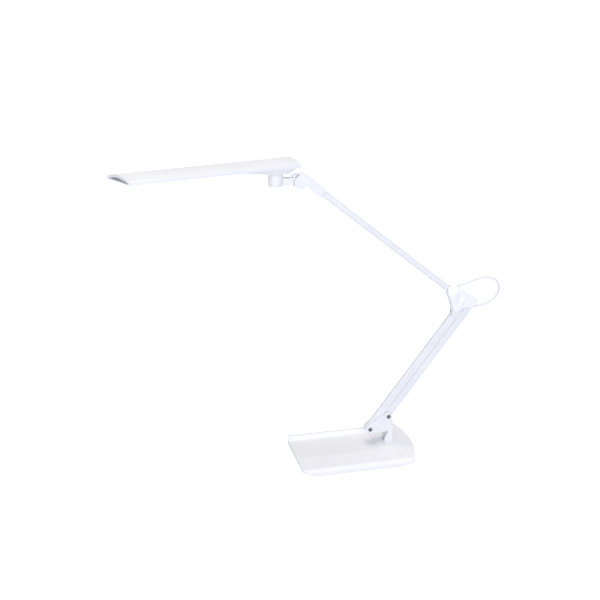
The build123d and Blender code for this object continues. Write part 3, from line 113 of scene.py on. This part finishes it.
def uneven_gloss(tree, shader, factor, smooth, rough):
    """Spreads a surface's roughness between two values by a pattern."""
    spread = add(tree, "ShaderNodeMapRange", {"Value": factor, "To Min": smooth, "To Max": rough})
    tree.links.new(spread.outputs["Result"], shader.inputs["Roughness"])


def white_abs(name, dark, light, gloss):
    """Satin white ABS: slow cloudy tone over 40 mm, a spark texture, and gloss that handling left uneven.

    The spark texture is really 0.2 mm; it is drawn at 0.9 mm so that it shows.
    """
    material, tree, shader, place = new_material(name)
    cloud = add(tree, "ShaderNodeTexNoise", {"Vector": place, "Scale": per_mm(40), "Detail": 3.0})
    two_tone(tree, shader, cloud.outputs["Fac"], dark, light, 0.3, 0.7)
    spark = add(tree, "ShaderNodeTexNoise", {"Vector": place, "Scale": per_mm(0.9), "Detail": 2.0})
    emboss(tree, shader, spark.outputs["Fac"], 0.04, 0.1)
    smear = add(tree, "ShaderNodeTexNoise", {"Vector": place, "Scale": per_mm(14), "Detail": 4.0})
    uneven_gloss(tree, shader, smear.outputs["Fac"], gloss - 0.05, gloss + 0.07)
    shader.inputs["IOR"].default_value = 1.53
    return material


def scuffed_abs_painted_lighter():
    """The tray's ABS: a white drawn lighter than the other white ABS as painted light, making up for light
    the base lacks, with scratches along the pens, 0.7 mm apart and 60 mm long.
    """
    # Painted light: these tones are a few levels lighter than the other white ABS, to make up for light the
    # base shell lacks.
    material = white_abs("scuffed_white_abs", "#F4F4F6", "#F8F8F9", 0.4)
    tree = material.node_tree
    shader = tree.nodes["Principled BSDF"]
    place = add(tree, "ShaderNodeTexCoord").outputs["Object"]
    drawn = add(tree, "ShaderNodeMapping", {"Vector": place, "Rotation": (0.0, 0.0, 0.06),
                                            "Scale": (per_mm(60), per_mm(0.7), per_mm(0.7))})
    scratch = add(tree, "ShaderNodeTexNoise", {"Vector": drawn.outputs["Vector"], "Scale": 1.0,
                                               "Detail": 4.0})
    uneven_gloss(tree, shader, scratch.outputs["Fac"], 0.3, 0.52)
    return material


def wear(material, *nodes):
    """Gives CAD nodes a material."""
    for name in nodes:
        mesh = frame["nodes"][name].data
        mesh.materials.clear()
        mesh.materials.append(material)


wear(scuffed_abs_painted_lighter(), "base_top_shell")

# Base underside: a grey plate in a coarse matt texture, screwed up into the shell's bosses.
# Between plate and shell lies a cast weight that keeps the lamp from tipping, and a rubber sheet is
# glued under the plate. The lead's grommet is pressed into the back wall.


def grey_abs():
    """Grey ABS of the underside and the button: a matt texture of 0.8 mm grit."""
    material, tree, shader, place = new_material("grey_matt_abs")
    grit = add(tree, "ShaderNodeTexVoronoi", {"Vector": place, "Scale": per_mm(0.8)})
    two_tone(tree, shader, grit.outputs["Distance"], "#BFC2C7", "#CBCED3")
    emboss(tree, shader, grit.outputs["Distance"], 0.15, 0.2)
    uneven_gloss(tree, shader, grit.outputs["Distance"], 0.5, 0.62)
    return material


grey_plate = grey_abs()
wear(grey_plate, "base_bottom_plate")


def cast_iron():
    """Sand-cast iron: a dark skin with 2 mm sand marks and a little rust in the hollows."""
    material, tree, shader, place = new_material("sand_cast_iron")
    sand = add(tree, "ShaderNodeTexNoise", {"Vector": place, "Scale": per_mm(2), "Detail": 6.0})
    two_tone(tree, shader, sand.outputs["Fac"], "#4B3A33", "#5A5B5E", 0.25, 0.45)
    emboss(tree, shader, sand.outputs["Fac"], 0.5, 0.6)
    uneven_gloss(tree, shader, sand.outputs["Fac"], 0.8, 0.6)
    shader.inputs["Metallic"].default_value = 0.6
    return material


wear(cast_iron(), "base_weight")


def pad_rubber():
    """Black rubber sheet: 3 mm cells pressed into it, with dust along the cells' edges."""
    material, tree, shader, place = new_material("pressed_black_rubber")
    cells = add(tree, "ShaderNodeTexVoronoi", {"Vector": place, "Scale": per_mm(3), "Randomness": 0.15},
                feature="DISTANCE_TO_EDGE")
    two_tone(tree, shader, cells.outputs["Distance"], "#3A3A3A", "#232324", 0.0, 0.12)
    emboss(tree, shader, cells.outputs["Distance"], 0.4, 0.8)
    uneven_gloss(tree, shader, cells.outputs["Distance"], 0.9, 0.74)
    return material


wear(pad_rubber(), "non_slip_pad")


def zinc_steel():
    """Bright zinc on steel: 1.2 mm crystals in slightly different greys."""
    material, tree, shader, place = new_material("zinc_plated_steel")
    crystal = add(tree, "ShaderNodeTexVoronoi", {"Vector": place, "Scale": per_mm(1.2)})
    tone = add(tree, "ShaderNodeMixRGB", {"Fac": 0.12, "Color1": srgb("#B9BCC2"),
                                          "Color2": crystal.outputs["Color"]})
    tree.links.new(tone.outputs["Color"], shader.inputs["Base Color"])
    uneven_gloss(tree, shader, crystal.outputs["Distance"], 0.28, 0.42)
    shader.inputs["Metallic"].default_value = 1.0
    return material


zinc = zinc_steel()
wear(zinc, "base_screws", "bracket_screws", "bracket_tie_screw")


def white_pvc():
    """Soft white PVC of the leads and the grommet: 1.5 mm drawing marks under a waxy sheen."""
    material, tree, shader, place = new_material("white_lead_pvc")
    marks = add(tree, "ShaderNodeTexNoise", {"Vector": place, "Scale": per_mm(1.5), "Detail": 3.0})
    two_tone(tree, shader, marks.outputs["Fac"], "#E6E7E9", "#F0F0F0")
    emboss(tree, shader, marks.outputs["Fac"], 0.1, 0.2)
    uneven_gloss(tree, shader, marks.outputs["Fac"], 0.38, 0.48)
    shader.inputs["IOR"].default_value = 1.5
    shader.inputs["Subsurface Weight"].default_value = 0.1
    shader.inputs["Subsurface Radius"].default_value = (0.002, 0.002, 0.002)
    return material


soft_pvc = white_pvc()
wear(soft_pvc, "cord_grommet")

# Bracket: two moulded halves with feet under the shell and a cheek at each side of the bars.
# Two shoulder screws in dark nickel hold the bars; their pan heads have a cross recess and show in front,
# and locking nuts close them at the back.
satin_abs = white_abs("satin_white_abs", "#ECEDF0", "#F1F2F4", 0.36)
wear(satin_abs, "bracket_front_half", "bracket_rear_half")


def dark_nickel(name, dark, light):
    """Dark nickel on turned steel: the bath leaves a mottle, drawn at 0.5 mm so that it shows."""
    material, tree, shader, place = new_material(name)
    mottle = add(tree, "ShaderNodeTexNoise", {"Vector": place, "Scale": per_mm(0.5), "Detail": 3.0})
    two_tone(tree, shader, mottle.outputs["Fac"], dark, light, 0.3, 0.7)
    uneven_gloss(tree, shader, mottle.outputs["Fac"], 0.3, 0.42)
    shader.inputs["Metallic"].default_value = 1.0
    return material


nickel = dark_nickel("dark_nickel_steel", "#55585E", "#6E7178")
wear(nickel, "lower_pivot_screws", "lower_pivot_nuts")


def grid_mesh(name, blocks, material):
    """A piece from closed grids of points, rows by columns: each is joined round its columns and capped.

    A grid's first row lies in a plane; the sign of the volume over that plane tells which way its
    faces have to run to point outwards.
    """
    corners, faces, smooth = [], [], []
    start = 0
    for points in blocks:
        rows, columns = points.shape[:2]
        index = np.arange(rows * columns).reshape(rows, columns)
        right = np.roll(index, -1, axis=1)
        quads = np.stack([index[:-1], right[:-1], right[1:], index[1:]], axis=-1).reshape(-1, 4)
        flat = points.reshape(-1, 3)
        local = flat - points[0].mean(axis=0)
        first, second, third, fourth = (local[quads[:, i]] for i in range(4))
        volume = (first * (np.cross(second, third) + np.cross(third, fourth))).sum()
        way = 1 if volume > 0 else -1
        faces += (quads[:, ::way] + start).tolist()
        faces += [(index[0][::-way] + start).tolist(), (index[-1][::way] + start).tolist()]
        smooth += [True] * len(quads) + [False] * 2
        corners.append(flat)
        start += len(flat)
    mesh = bpy.data.meshes.new(name)
    mesh.from_pydata(np.concatenate(corners).tolist(), [], faces)
    mesh.polygons.foreach_set("use_smooth", smooth)
    mesh.materials.append(material)
    mesh.validate()
    piece = bpy.data.objects.new(name, mesh)
    bpy.context.scene.collection.objects.link(piece)
    return piece


PIVOT_CROWN_RADIUS = 0.0028
PIVOT_CROWN_RISE = 0.0008
RECESS_ARM = 0.0016
RECESS_HALF_WIDTH = 0.00036
RECESS_WALL = 0.0002
RECESS_SHARE = 0.85
CROWN_RINGS = 26
CROWN_SIDES = 72


def cross_crown(radius, rise, arm, slot):
    """A screw's crown as a grid of (side, height, side) offsets.

    Height is rise (1 - r^2) less the recess, which is dug where the distance to a plus sign with arms
    of this length and half width is under nought.
    """
    ring = np.linspace(1.0, 0.01, CROWN_RINGS)[:, None]
    angle = np.linspace(0, 2 * np.pi, CROWN_SIDES, endpoint=False)[None, :]
    side = radius * ring * np.cos(angle)
    up = radius * ring * np.sin(angle)
    lying = np.maximum(abs(side) - arm, abs(up) - slot)
    standing = np.maximum(abs(up) - arm, abs(side) - slot)
    dug = np.clip(0.5 - np.minimum(lying, standing) / RECESS_WALL, 0, 1)
    height = rise * (1 - ring ** 2) - RECESS_SHARE * rise * dug * (1 - ring ** 2)
    return np.stack([side, height, up], axis=-1)


joint_at = {joint["name"]: np.array(joint["pos_m"]) for joint in frame["joints"] if "pos_m" in joint}
crown = cross_crown(PIVOT_CROWN_RADIUS, PIVOT_CROWN_RISE, RECESS_ARM, RECESS_HALF_WIDTH)
pivot_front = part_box("lower_pivot_screws")[0].y
crowns = [np.array([joint_at[name][0], pivot_front, joint_at[name][2]]) + crown * (1, -1, 1)
          for name in ("lower_arm_lift", "rear_bar_follow")]
pivot_crowns = grid_mesh("pivot_screw_crowns", crowns, nickel)
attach(pivot_crowns, "base")

# Lower arm: two square aluminium tubes, powder coated white, with moulded ends on nylon bushes.
# The ends are pushed into the tubes. The bars lie side by side, so the narrow seam between them is the
# only line along the arm.


def powder_coat():
    """White powder coat on aluminium tube: a soft orange peel of 2.5 mm and a satin gloss."""
    material, tree, shader, place = new_material("white_powder_coat")
    cloud = add(tree, "ShaderNodeTexNoise", {"Vector": place, "Scale": per_mm(60), "Detail": 2.0})
    two_tone(tree, shader, cloud.outputs["Fac"], "#EBECF0", "#F1F2F5", 0.3, 0.7)
    peel = add(tree, "ShaderNodeTexNoise", {"Vector": place, "Scale": per_mm(2.5), "Detail": 2.0})
    emboss(tree, shader, peel.outputs["Fac"], 0.06, 0.2)
    uneven_gloss(tree, shader, peel.outputs["Fac"], 0.29, 0.38)
    shader.inputs["IOR"].default_value = 1.5
    return material


enamel = powder_coat()
wear(enamel, "front_bar_tube", "rear_bar_tube")
wear(satin_abs, "front_bar_lower_end", "front_bar_upper_end", "rear_bar_lower_end", "rear_bar_upper_end")


def natural_nylon():
    """Natural nylon of bushes and washers: milky, with 3 mm flow marks."""
    material, tree, shader, place = new_material("natural_nylon")
    flow = add(tree, "ShaderNodeTexNoise", {"Vector": place, "Scale": per_mm(3), "Distortion": 2.0})
    two_tone(tree, shader, flow.outputs["Fac"], "#DAD5C6", "#E4E0D4")
    uneven_gloss(tree, shader, flow.outputs["Fac"], 0.4, 0.52)
    return material


nylon = natural_nylon()
wear(nylon, "front_bar_bushes", "rear_bar_bushes")

# Elbow plates: two white mouldings pinned to the bars, with the upper arm's root between them.
# The front plate has a wall down the left side and a webbed lug over the front pin, whose end a small
# domed cap hides. Bolt, nut and pins are zinc-plated steel; a round cap covers the nut behind.
wear(satin_abs, "elbow_front_plate", "elbow_rear_plate", "elbow_rear_cover")
wear(zinc, "elbow_pins", "elbow_bolt", "elbow_nut")
elbow_at = joint_at["elbow_fold"]
front_pin_at = joint_at["elbow_level"]
plate_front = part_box("elbow_front_plate")[0].y
PIN_CAP_RADIUS = 0.0036
PIN_CAP_RISE = 0.0009
PIN_CAP_RINGS = 14
PIN_CAP_SIDES = 48


def domed_cap(radius, rise):
    """A low round cap as (side, height, side) offsets: height is rise times the root of 1 - r^4."""
    ring = np.sqrt(np.linspace(1.0, 0.0001, PIN_CAP_RINGS))[:, None]
    angle = np.linspace(0, 2 * np.pi, PIN_CAP_SIDES, endpoint=False)[None, :]
    height = rise * np.sqrt(1 - ring ** 4) + 0 * angle
    return np.stack([radius * ring * np.cos(angle), height, radius * ring * np.sin(angle)], axis=-1)


cap_place = np.array([front_pin_at[0], plate_front, front_pin_at[2]])
pin_cap = grid_mesh("front_pin_cap", [cap_place + domed_cap(PIN_CAP_RADIUS, PIN_CAP_RISE) * (1, -1, 1)],
                    satin_abs)
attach(pin_cap, "elbow")

# The lug's web, in millimetres from the front pin. A corner is side, height and radius.
LUG_CORNERS = [(-6.4, 9.0, 1.0), (-5.4, -4.4, 4.6), (4.4, -4.4, 4.3), (6.4, 0.4, 5.0),
               (17.0, 11.5, 2.0), (15.0, 18.0, 1.0)]
LUG_MIDDLE = (3.0, 5.0)
LUG_THICKNESS = 2.8
LUG_EDGE = 0.4
LUG_SETBACK = 0.1
LUG_POINTS = 96
LUG_REACH = 0.98
ARC_POINTS = 24


def rounded_outline(corners, radii, count):
    """A polygon with rounded corners, as evenly spaced points.

    A corner's arc has its centre on the bisector, radius / sin(half angle) from the corner, and swings
    from one tangent point to the other by sin((1 - s) turn) and sin(s turn) over sin(turn).
    """
    back = np.roll(corners, 1, axis=0) - corners
    ahead = np.roll(corners, -1, axis=0) - corners
    back /= np.linalg.norm(back, axis=1, keepdims=True)
    ahead /= np.linalg.norm(ahead, axis=1, keepdims=True)
    half = np.arccos((back * ahead).sum(axis=1, keepdims=True)) / 2
    centre = corners + (back + ahead) / (2 * np.cos(half)) * radii / np.sin(half)
    first = corners + back * radii / np.tan(half) - centre
    last = corners + ahead * radii / np.tan(half) - centre
    turn = np.pi - 2 * half
    step = np.linspace(0, 1, ARC_POINTS)
    leave = (np.sin((1 - step) * turn) / np.sin(turn))[..., None] * first[:, None]
    arrive = (np.sin(step * turn) / np.sin(turn))[..., None] * last[:, None]
    loop = (centre[:, None] + leave + arrive).reshape(-1, 2)
    loop = np.vstack([loop, loop[:1]])
    along = np.append(0, np.cumsum(np.linalg.norm(np.diff(loop, axis=0), axis=1)))
    even = np.linspace(0, along[-1], count, endpoint=False)
    return np.stack([np.interp(even, along, loop[:, i]) for i in (0, 1)], axis=1)


def lug_grid():
    """The lug's web as a slab: its outline at the back, at the edge's foot and at the front; the middle."""
    sizes = np.array(LUG_CORNERS)
    outline = rounded_outline(sizes[:, :2], sizes[:, 2:], LUG_POINTS)
    spread = np.linalg.norm(outline - LUG_MIDDLE, axis=1, keepdims=True)
    inward = np.stack([0 * spread, 0 * spread, LUG_EDGE / spread, LUG_REACH + 0 * spread])
    rings = outline + inward * (np.array(LUG_MIDDLE) - outline)
    height = np.array([0.0, LUG_THICKNESS - LUG_EDGE, LUG_THICKNESS, LUG_THICKNESS])[:, None]
    depth = plate_front * MM_PER_METRE + LUG_THICKNESS + LUG_SETBACK - height + 0 * rings[..., 0]
    pin = front_pin_at * MM_PER_METRE
    return np.stack([pin[0] + rings[..., 0], depth, pin[2] + rings[..., 1]], axis=-1) / MM_PER_METRE


lug_web = grid_mesh("elbow_lug_web", [lug_grid()], satin_abs)
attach(lug_web, "elbow")

# Elbow cover: a sculpted white ABS cap clipped over the front plate.
# A low dome over the bolt and a softly folded wing over the rear pin meet in a hollow; on the arm's side
# the cap thins out, so that the round tube seems to run into it. It is whiter than the plates.
rear_pin_at = front_pin_at + joint_at["rear_bar_follow"] - joint_at["lower_arm_lift"]
# In millimetres. A corner is the pivot it is measured from, side, height and radius; the rest is
# measured from the elbow's bolt, and a spread is a bell's half width along side and height.
COVER_CORNERS = [(elbow_at, -13.4, 2.5, 7.0), (front_pin_at, -2.6, 4.2, 5.0),
                 (rear_pin_at, -16.7, -5.0, 12.0), (rear_pin_at, -3.2, -10.3, 3.0),
                 (rear_pin_at, 8.3, 4.8, 2.5), (elbow_at, -2.8, 17.5, 5.0),
                 (elbow_at, -13.1, 11.6, 6.0)]
COVER_MIDDLE = (8.0, -8.0)
COVER_WALL = 2.4
COVER_RISE = 3.0
SHOULDER = 5.0
BOSS = (-1.7, 0.9)
BOSS_SPREAD = (6.0, 6.5)
BOSS_RISE = 1.4
VALLEY = (6.4, -8.0)
VALLEY_SPREAD = (3.2, 7.5)
VALLEY_DEPTH = 1.9
RIDGE = [(14.6, -8.1), (12.3, -14.0), (7.3, -19.7)]
RIDGE_SPREAD = 2.2
RIDGE_RISE = 0.8
DENT = (30.1, -16.2)
DENT_SPREAD = (1.7, 1.7)
DENT_DEPTH = 0.8
WING_START = 14.0
WING_FALL = 0.05
THIN_START = 4.0
THIN_LENGTH = 12.0
THIN_SHARE = 0.62
COVER_POINTS = 240
COVER_RINGS = 40
COVER_REACH = 0.985
COVER_SPACING = 1.4


def distance_to(points, line):
    """The distance from each point to the nearest piece of a line through points."""
    start, run = line[:-1], np.diff(line, axis=0)
    off = points[..., None, :] - start
    share = np.clip((off * run).sum(axis=-1) / (run ** 2).sum(axis=-1), 0, 1)
    return np.linalg.norm(off - share[..., None] * run, axis=-1).min(axis=-1)


def hill(points, middle, spread):
    """A bell over a middle: exp(-(x / wide)^2 - (z / tall)^2)."""
    off = (points - np.array(middle)) / spread
    return np.exp(-(off ** 2).sum(axis=-1))


def cover_height(points, edge):
    """The cap's height in millimetres: a quarter round at its edge, then dome, hollow, fold and wing.

    The quarter round rises by the root of 1 - (1 - edge / shoulder)^2. Towards the arm everything is
    scaled down by a smooth step along the tube.
    """
    inward = np.clip(edge / SHOULDER, 0, 1)
    height = COVER_WALL + COVER_RISE * np.sqrt(1 - (1 - inward) ** 2)
    height += BOSS_RISE * hill(points, BOSS, BOSS_SPREAD) - VALLEY_DEPTH * hill(points, VALLEY, VALLEY_SPREAD)
    height += RIDGE_RISE * np.exp(-(distance_to(points, np.array(RIDGE)) / RIDGE_SPREAD) ** 2) * inward
    height -= DENT_DEPTH * hill(points, DENT, DENT_SPREAD)
    height -= WING_FALL * np.clip(points[..., 0] - WING_START, 0, None)
    along_arm = (joint_at["head_tilt"] - elbow_at)[[0, 2]]
    along_arm /= np.linalg.norm(along_arm)
    near = np.clip(((points * along_arm).sum(axis=-1) - THIN_START) / THIN_LENGTH, 0, 1)
    return height * (1 - THIN_SHARE * near ** 2 * (3 - 2 * near))


def cover_grid():
    """The cap's grid: its outline at the plate, the same at wall height, then rings to the middle."""
    corners = np.array([(pivot - elbow_at)[[0, 2]] * MM_PER_METRE + (x, z)
                        for pivot, x, z, _ in COVER_CORNERS])
    outline = rounded_outline(corners, np.array([[row[3]] for row in COVER_CORNERS]), COVER_POINTS)
    inward = np.linspace(0, COVER_REACH, COVER_RINGS)[:, None, None] ** COVER_SPACING
    rings = outline + inward * (np.array(COVER_MIDDLE) - outline)
    height = cover_height(rings, distance_to(rings, np.vstack([outline, outline[:1]])))
    rings = np.concatenate([rings[:1], rings])
    height = np.concatenate([0 * height[:1], height])
    depth = plate_front * MM_PER_METRE - height
    bolt = elbow_at * MM_PER_METRE
    return np.stack([bolt[0] + rings[..., 0], depth, bolt[2] + rings[..., 1]], axis=-1) / MM_PER_METRE


cap_abs = white_abs("cap_white_abs", "#F6F7F9", "#FAFBFC", 0.34)
elbow_cap = grid_mesh("sculpted_elbow_cap", [cover_grid()], cap_abs)
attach(elbow_cap, "elbow")
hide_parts("elbow_front_cover")

# Elbow lead: a soft white two-core lead that leaves the arm's root, loops out behind the elbow
# and goes back into the rear bar, with enough spare for the arm to fold.
ARM_Y = float(elbow_at[1])
ELBOW_LEAD_DIAMETER = 0.0042
ELBOW_LEAD_ROUTE = [(0.1681, 0.2837), (0.187, 0.2891), (0.208, 0.2965), (0.2295, 0.3), (0.248, 0.2945),
                    (0.256, 0.2794), (0.2505, 0.2629), (0.2359, 0.2535), (0.2195, 0.25), (0.2042, 0.2481)]
LEAD_STEPS = 8
LEAD_SIDES = 20


def lead_line(name, route):
    """The points of a smooth NURBS line whose control points are the route's, in the arms' plane."""
    curve = bpy.data.curves.new(name + "_line", "CURVE")
    curve.dimensions = "3D"
    curve.resolution_u = LEAD_STEPS
    spline = curve.splines.new("NURBS")
    spline.points.add(len(route) - 1)
    for point, (x, z) in zip(spline.points, route):
        point.co = (x, ARM_Y, z, 1.0)
    spline.order_u = 3
    spline.use_endpoint_u = True
    holder = bpy.data.objects.new(name + "_line", curve)
    mesh = bpy.data.meshes.new_from_object(holder)
    points = np.empty(len(mesh.vertices) * 3)
    mesh.vertices.foreach_get("co", points)
    bpy.data.objects.remove(holder)
    bpy.data.curves.remove(curve)
    bpy.data.meshes.remove(mesh)
    return points.reshape(-1, 3)


def lead_tube(name, line, diameter, material):
    """A round section carried along the line: centre + r (cos a * side + sin a * Y)."""
    way = np.gradient(line, axis=0)
    way /= np.linalg.norm(way, axis=1, keepdims=True)
    across = np.array([0.0, 1.0, 0.0])
    side = np.cross(way, across)
    angle = np.linspace(0, 2 * np.pi, LEAD_SIDES, endpoint=False)
    ring = np.cos(angle)[None, :, None] * side[:, None, :] + np.sin(angle)[None, :, None] * across
    return grid_mesh(name, [line[:, None, :] + diameter / 2 * ring], material)


elbow_line = lead_line("elbow_lead", ELBOW_LEAD_ROUTE)
elbow_lead = lead_tube("elbow_lead", elbow_line, ELBOW_LEAD_DIAMETER, soft_pvc)
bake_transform(elbow_lead)
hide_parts("elbow_cable")

# Upper arm: a round aluminium tube, powder coated white, between the elbow's root and the tilt knuckle.
# The mouldings are pushed into the tube and held by set screws; caps snap over the knuckle's bolt and nut.
wear(enamel, "upper_arm_tube")
wear(satin_abs, "arm_root", "tilt_knuckle", "knuckle_front_cap", "knuckle_rear_cap")
wear(zinc, "tilt_bolt", "tilt_nut", "arm_set_screws")

# Neck: a moulded bar with the round post that carries the head.
# It is hollow for the lead, and a cap pressed in from below closes the post.
wear(satin_abs, "neck", "post_cap")

# Neck lead: a thinner white lead that arches from the sleeve's end over the tilt knuckle into the neck.
# Its arch is the slack that the head needs to tilt.
NECK_LEAD_DIAMETER = 0.0035
NECK_LEAD_ROUTE = [(-0.0802, 0.4846), (-0.0857, 0.4887), (-0.0925, 0.4907), (-0.0995, 0.49),
                   (-0.1057, 0.4867), (-0.1099, 0.4812)]
neck_line = lead_line("neck_lead", NECK_LEAD_ROUTE)
neck_lead = lead_tube("neck_lead", neck_line, NECK_LEAD_DIAMETER, soft_pvc)
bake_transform(neck_lead)
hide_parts("neck_cable")

# Head shell: an arched white ABS moulding over a frame that holds the frosted panel.
# The chin below it takes the post's steel shaft, which turns on a nylon washer. Small screws go in from
# underneath, so the arch is unbroken.
wear(satin_abs, "head_top_shell", "head_bottom_frame", "chin_cover")
wear(zinc, "head_screws", "chin_screws", "swivel_shaft", "swivel_nut")
wear(nylon, "swivel_washer")

# Light panel: frosted acrylic in front of a strip of LEDs on a board, which lies on an aluminium spreader.
# The driver board sits beside the post, out of sight.


def frosted_acrylic():
    """Frosted acrylic panel: milky, with a moulded pattern of 2 mm prisms and a soft surface."""
    material, tree, shader, place = new_material("frosted_acrylic")
    prisms = add(tree, "ShaderNodeTexVoronoi", {"Vector": place, "Scale": per_mm(2), "Randomness": 0.0})
    two_tone(tree, shader, prisms.outputs["Distance"], "#F4F4F0", "#E9E9E6")
    emboss(tree, shader, prisms.outputs["Distance"], 0.25, 0.4)
    uneven_gloss(tree, shader, prisms.outputs["Distance"], 0.45, 0.55)
    shader.inputs["IOR"].default_value = 1.49
    shader.inputs["Transmission Weight"].default_value = 0.15
    return material


wear(frosted_acrylic(), "diffuser")


WAVE_TURN = 6.28


def rolled_aluminium():
    """Plain rolled aluminium: straight rolling lines 0.6 mm apart, across the strip's width."""
    material, tree, shader, place = new_material("rolled_aluminium")
    lines = add(tree, "ShaderNodeTexWave", {"Vector": place, "Scale": per_mm(0.6) / WAVE_TURN,
                                            "Distortion": 3.0, "Detail": 3.0})
    two_tone(tree, shader, lines.outputs["Fac"], "#C3C6CA", "#D6D8DB")
    uneven_gloss(tree, shader, lines.outputs["Fac"], 0.36, 0.46)
    shader.inputs["Metallic"].default_value = 1.0
    return material


wear(rolled_aluminium(), "heat_spreader")


def circuit_board():
    """White solder mask over copper tracks: the tracks show as slightly raised 6 mm fields."""
    material, tree, shader, place = new_material("white_solder_mask")
    tracks = add(tree, "ShaderNodeTexBrick", {"Vector": place, "Scale": per_mm(6), "Mortar Size": 0.06,
                                              "Color1": srgb("#EDEFEA"), "Color2": srgb("#E6E9E2"),
                                              "Mortar": srgb("#CBD2C4")})
    tree.links.new(tracks.outputs["Color"], shader.inputs["Base Color"])
    emboss(tree, shader, tracks.outputs["Fac"], 0.2, 0.1)
    uneven_gloss(tree, shader, tracks.outputs["Fac"], 0.36, 0.5)
    return material


wear(circuit_board(), "led_board", "driver_board")


def phosphor_resin():
    """Yellow phosphor in clear resin: fine grains of 0.3 mm under a glossy drop."""
    material, tree, shader, place = new_material("phosphor_resin")
    grains = add(tree, "ShaderNodeTexNoise", {"Vector": place, "Scale": per_mm(0.3)})
    two_tone(tree, shader, grains.outputs["Fac"], "#E9C64A", "#F4DE86")
    uneven_gloss(tree, shader, grains.outputs["Fac"], 0.16, 0.26)
    shader.inputs["Coat Weight"].default_value = 0.5
    return material


wear(phosphor_resin(), "led_chips")

# Button: a grey push button under the head, guided by the frame.
# It presses on a small switch in black glass-filled nylon, soldered to the LED board.
wear(grey_plate, "power_button")


def switch_nylon():
    """Black glass-filled nylon of the small switch: a 0.4 mm fibre mottle."""
    material, tree, shader, place = new_material("black_filled_nylon")
    fibre = add(tree, "ShaderNodeTexNoise", {"Vector": place, "Scale": per_mm(0.4), "Detail": 4.0})
    two_tone(tree, shader, fibre.outputs["Fac"], "#1B1B1C", "#2C2C2E")
    uneven_gloss(tree, shader, fibre.outputs["Fac"], 0.44, 0.58)
    return material


wear(switch_nylon(), "button_switch")

# Studio: a white floor that keeps a soft shadow, and a white surround.
# One broad warm light hangs above and one cool light stands in front, both at a plain level.
scene = bpy.context.scene
scene.view_settings.view_transform = "Standard"


def seen_directly(tree):
    """One for what the camera sees itself, in a mirror or through glass; nought for bounced light."""
    path = add(tree, "ShaderNodeLightPath")
    first = add(tree, "ShaderNodeMath", {0: path.outputs["Is Camera Ray"], 1: path.outputs["Is Glossy Ray"]},
                operation="MAXIMUM")
    return add(tree, "ShaderNodeMath", {0: first.outputs[0], 1: path.outputs["Is Transmission Ray"]},
               operation="MAXIMUM").outputs[0]


FLOOR_HALF = 6.0
FLOOR_GLOW = 0.64
AMBIENT_LEVEL = 0.46
BACKDROP_LEVEL = 1.05
floor_mesh = bpy.data.meshes.new("studio_floor")
floor_corners = [(-FLOOR_HALF, -FLOOR_HALF, 0), (FLOOR_HALF, -FLOOR_HALF, 0), (FLOOR_HALF, FLOOR_HALF, 0),
                 (-FLOOR_HALF, FLOOR_HALF, 0)]
floor_mesh.from_pydata(floor_corners, [], [(0, 1, 2, 3)])
floor_paint = bpy.data.materials.new("white_studio_floor")
floor_paint.use_nodes = True
floor_tree = floor_paint.node_tree
floor_tree.nodes.clear()
bounce = add(floor_tree, "ShaderNodeBsdfDiffuse", {"Color": srgb("#DCDCDC")})
shadow = add(floor_tree, "ShaderNodeBsdfDiffuse", {"Color": srgb("#F2F2F2")})
lift = add(floor_tree, "ShaderNodeEmission", {"Color": (1, 1, 1, 1), "Strength": FLOOR_GLOW})
shown = add(floor_tree, "ShaderNodeAddShader", {0: shadow.outputs[0], 1: lift.outputs[0]})
mixed = add(floor_tree, "ShaderNodeMixShader", {0: seen_directly(floor_tree), 1: bounce.outputs[0],
                                                2: shown.outputs[0]})
add(floor_tree, "ShaderNodeOutputMaterial", {"Surface": mixed.outputs[0]})
floor_mesh.materials.append(floor_paint)
floor = bpy.data.objects.new("studio_floor", floor_mesh)
scene.collection.objects.link(floor)

surround = bpy.data.worlds.new("white_surround")
surround.use_nodes = True
world_tree = surround.node_tree
world_tree.nodes.clear()
ambient = add(world_tree, "ShaderNodeBackground", {"Color": srgb("#F4F7FF"), "Strength": AMBIENT_LEVEL})
backdrop = add(world_tree, "ShaderNodeBackground", {"Color": (1, 1, 1, 1), "Strength": BACKDROP_LEVEL})
sky = add(world_tree, "ShaderNodeMixShader", {0: seen_directly(world_tree), 1: ambient.outputs[0],
                                              2: backdrop.outputs[0]})
add(world_tree, "ShaderNodeOutputWorld", {"Surface": sky.outputs[0]})
scene.world = surround


def soft_light(name, place, target, size, power, colour):
    """A square area light at a place, turned to a target."""
    lamp = bpy.data.lights.new(name, "AREA")
    lamp.size = size
    lamp.energy = power
    lamp.color = srgb(colour)[:3]
    holder = bpy.data.objects.new(name, lamp)
    holder.location = place
    holder.rotation_euler = (Vector(target) - Vector(place)).to_track_quat("-Z", "Y").to_euler()
    scene.collection.objects.link(holder)


# A softbox is its name, place, target, side in metres, power in watts and colour.
SOFTBOXES = [("overhead_softbox", (-0.4, 0.2, 4.2), (-0.05, 0.0, 0.2), 2.6, 66.0, "#FFF6EC"),
             ("front_softbox", (-0.5, -2.4, 0.95), (0.0, 0.0, 0.25), 1.6, 36.5, "#EDF2FF")]
for softbox in SOFTBOXES:
    soft_light(*softbox)

CAMERA_PLACE = (-0.45895, -1.4647, 0.7963)
CAMERA_TARGET = (-0.095, -0.005, 0.29)
SENSOR_WIDTH = 36.0
FOCAL_LENGTH = 60.0
lens = bpy.data.cameras.new("photo_camera")
lens.sensor_width = SENSOR_WIDTH
lens.lens = FOCAL_LENGTH
camera = bpy.data.objects.new("photo_camera", lens)
camera.location = CAMERA_PLACE
camera.rotation_euler = (Vector(CAMERA_TARGET) - Vector(CAMERA_PLACE)).to_track_quat("-Z", "Y").to_euler()
scene.collection.objects.link(camera)
scene.camera = camera
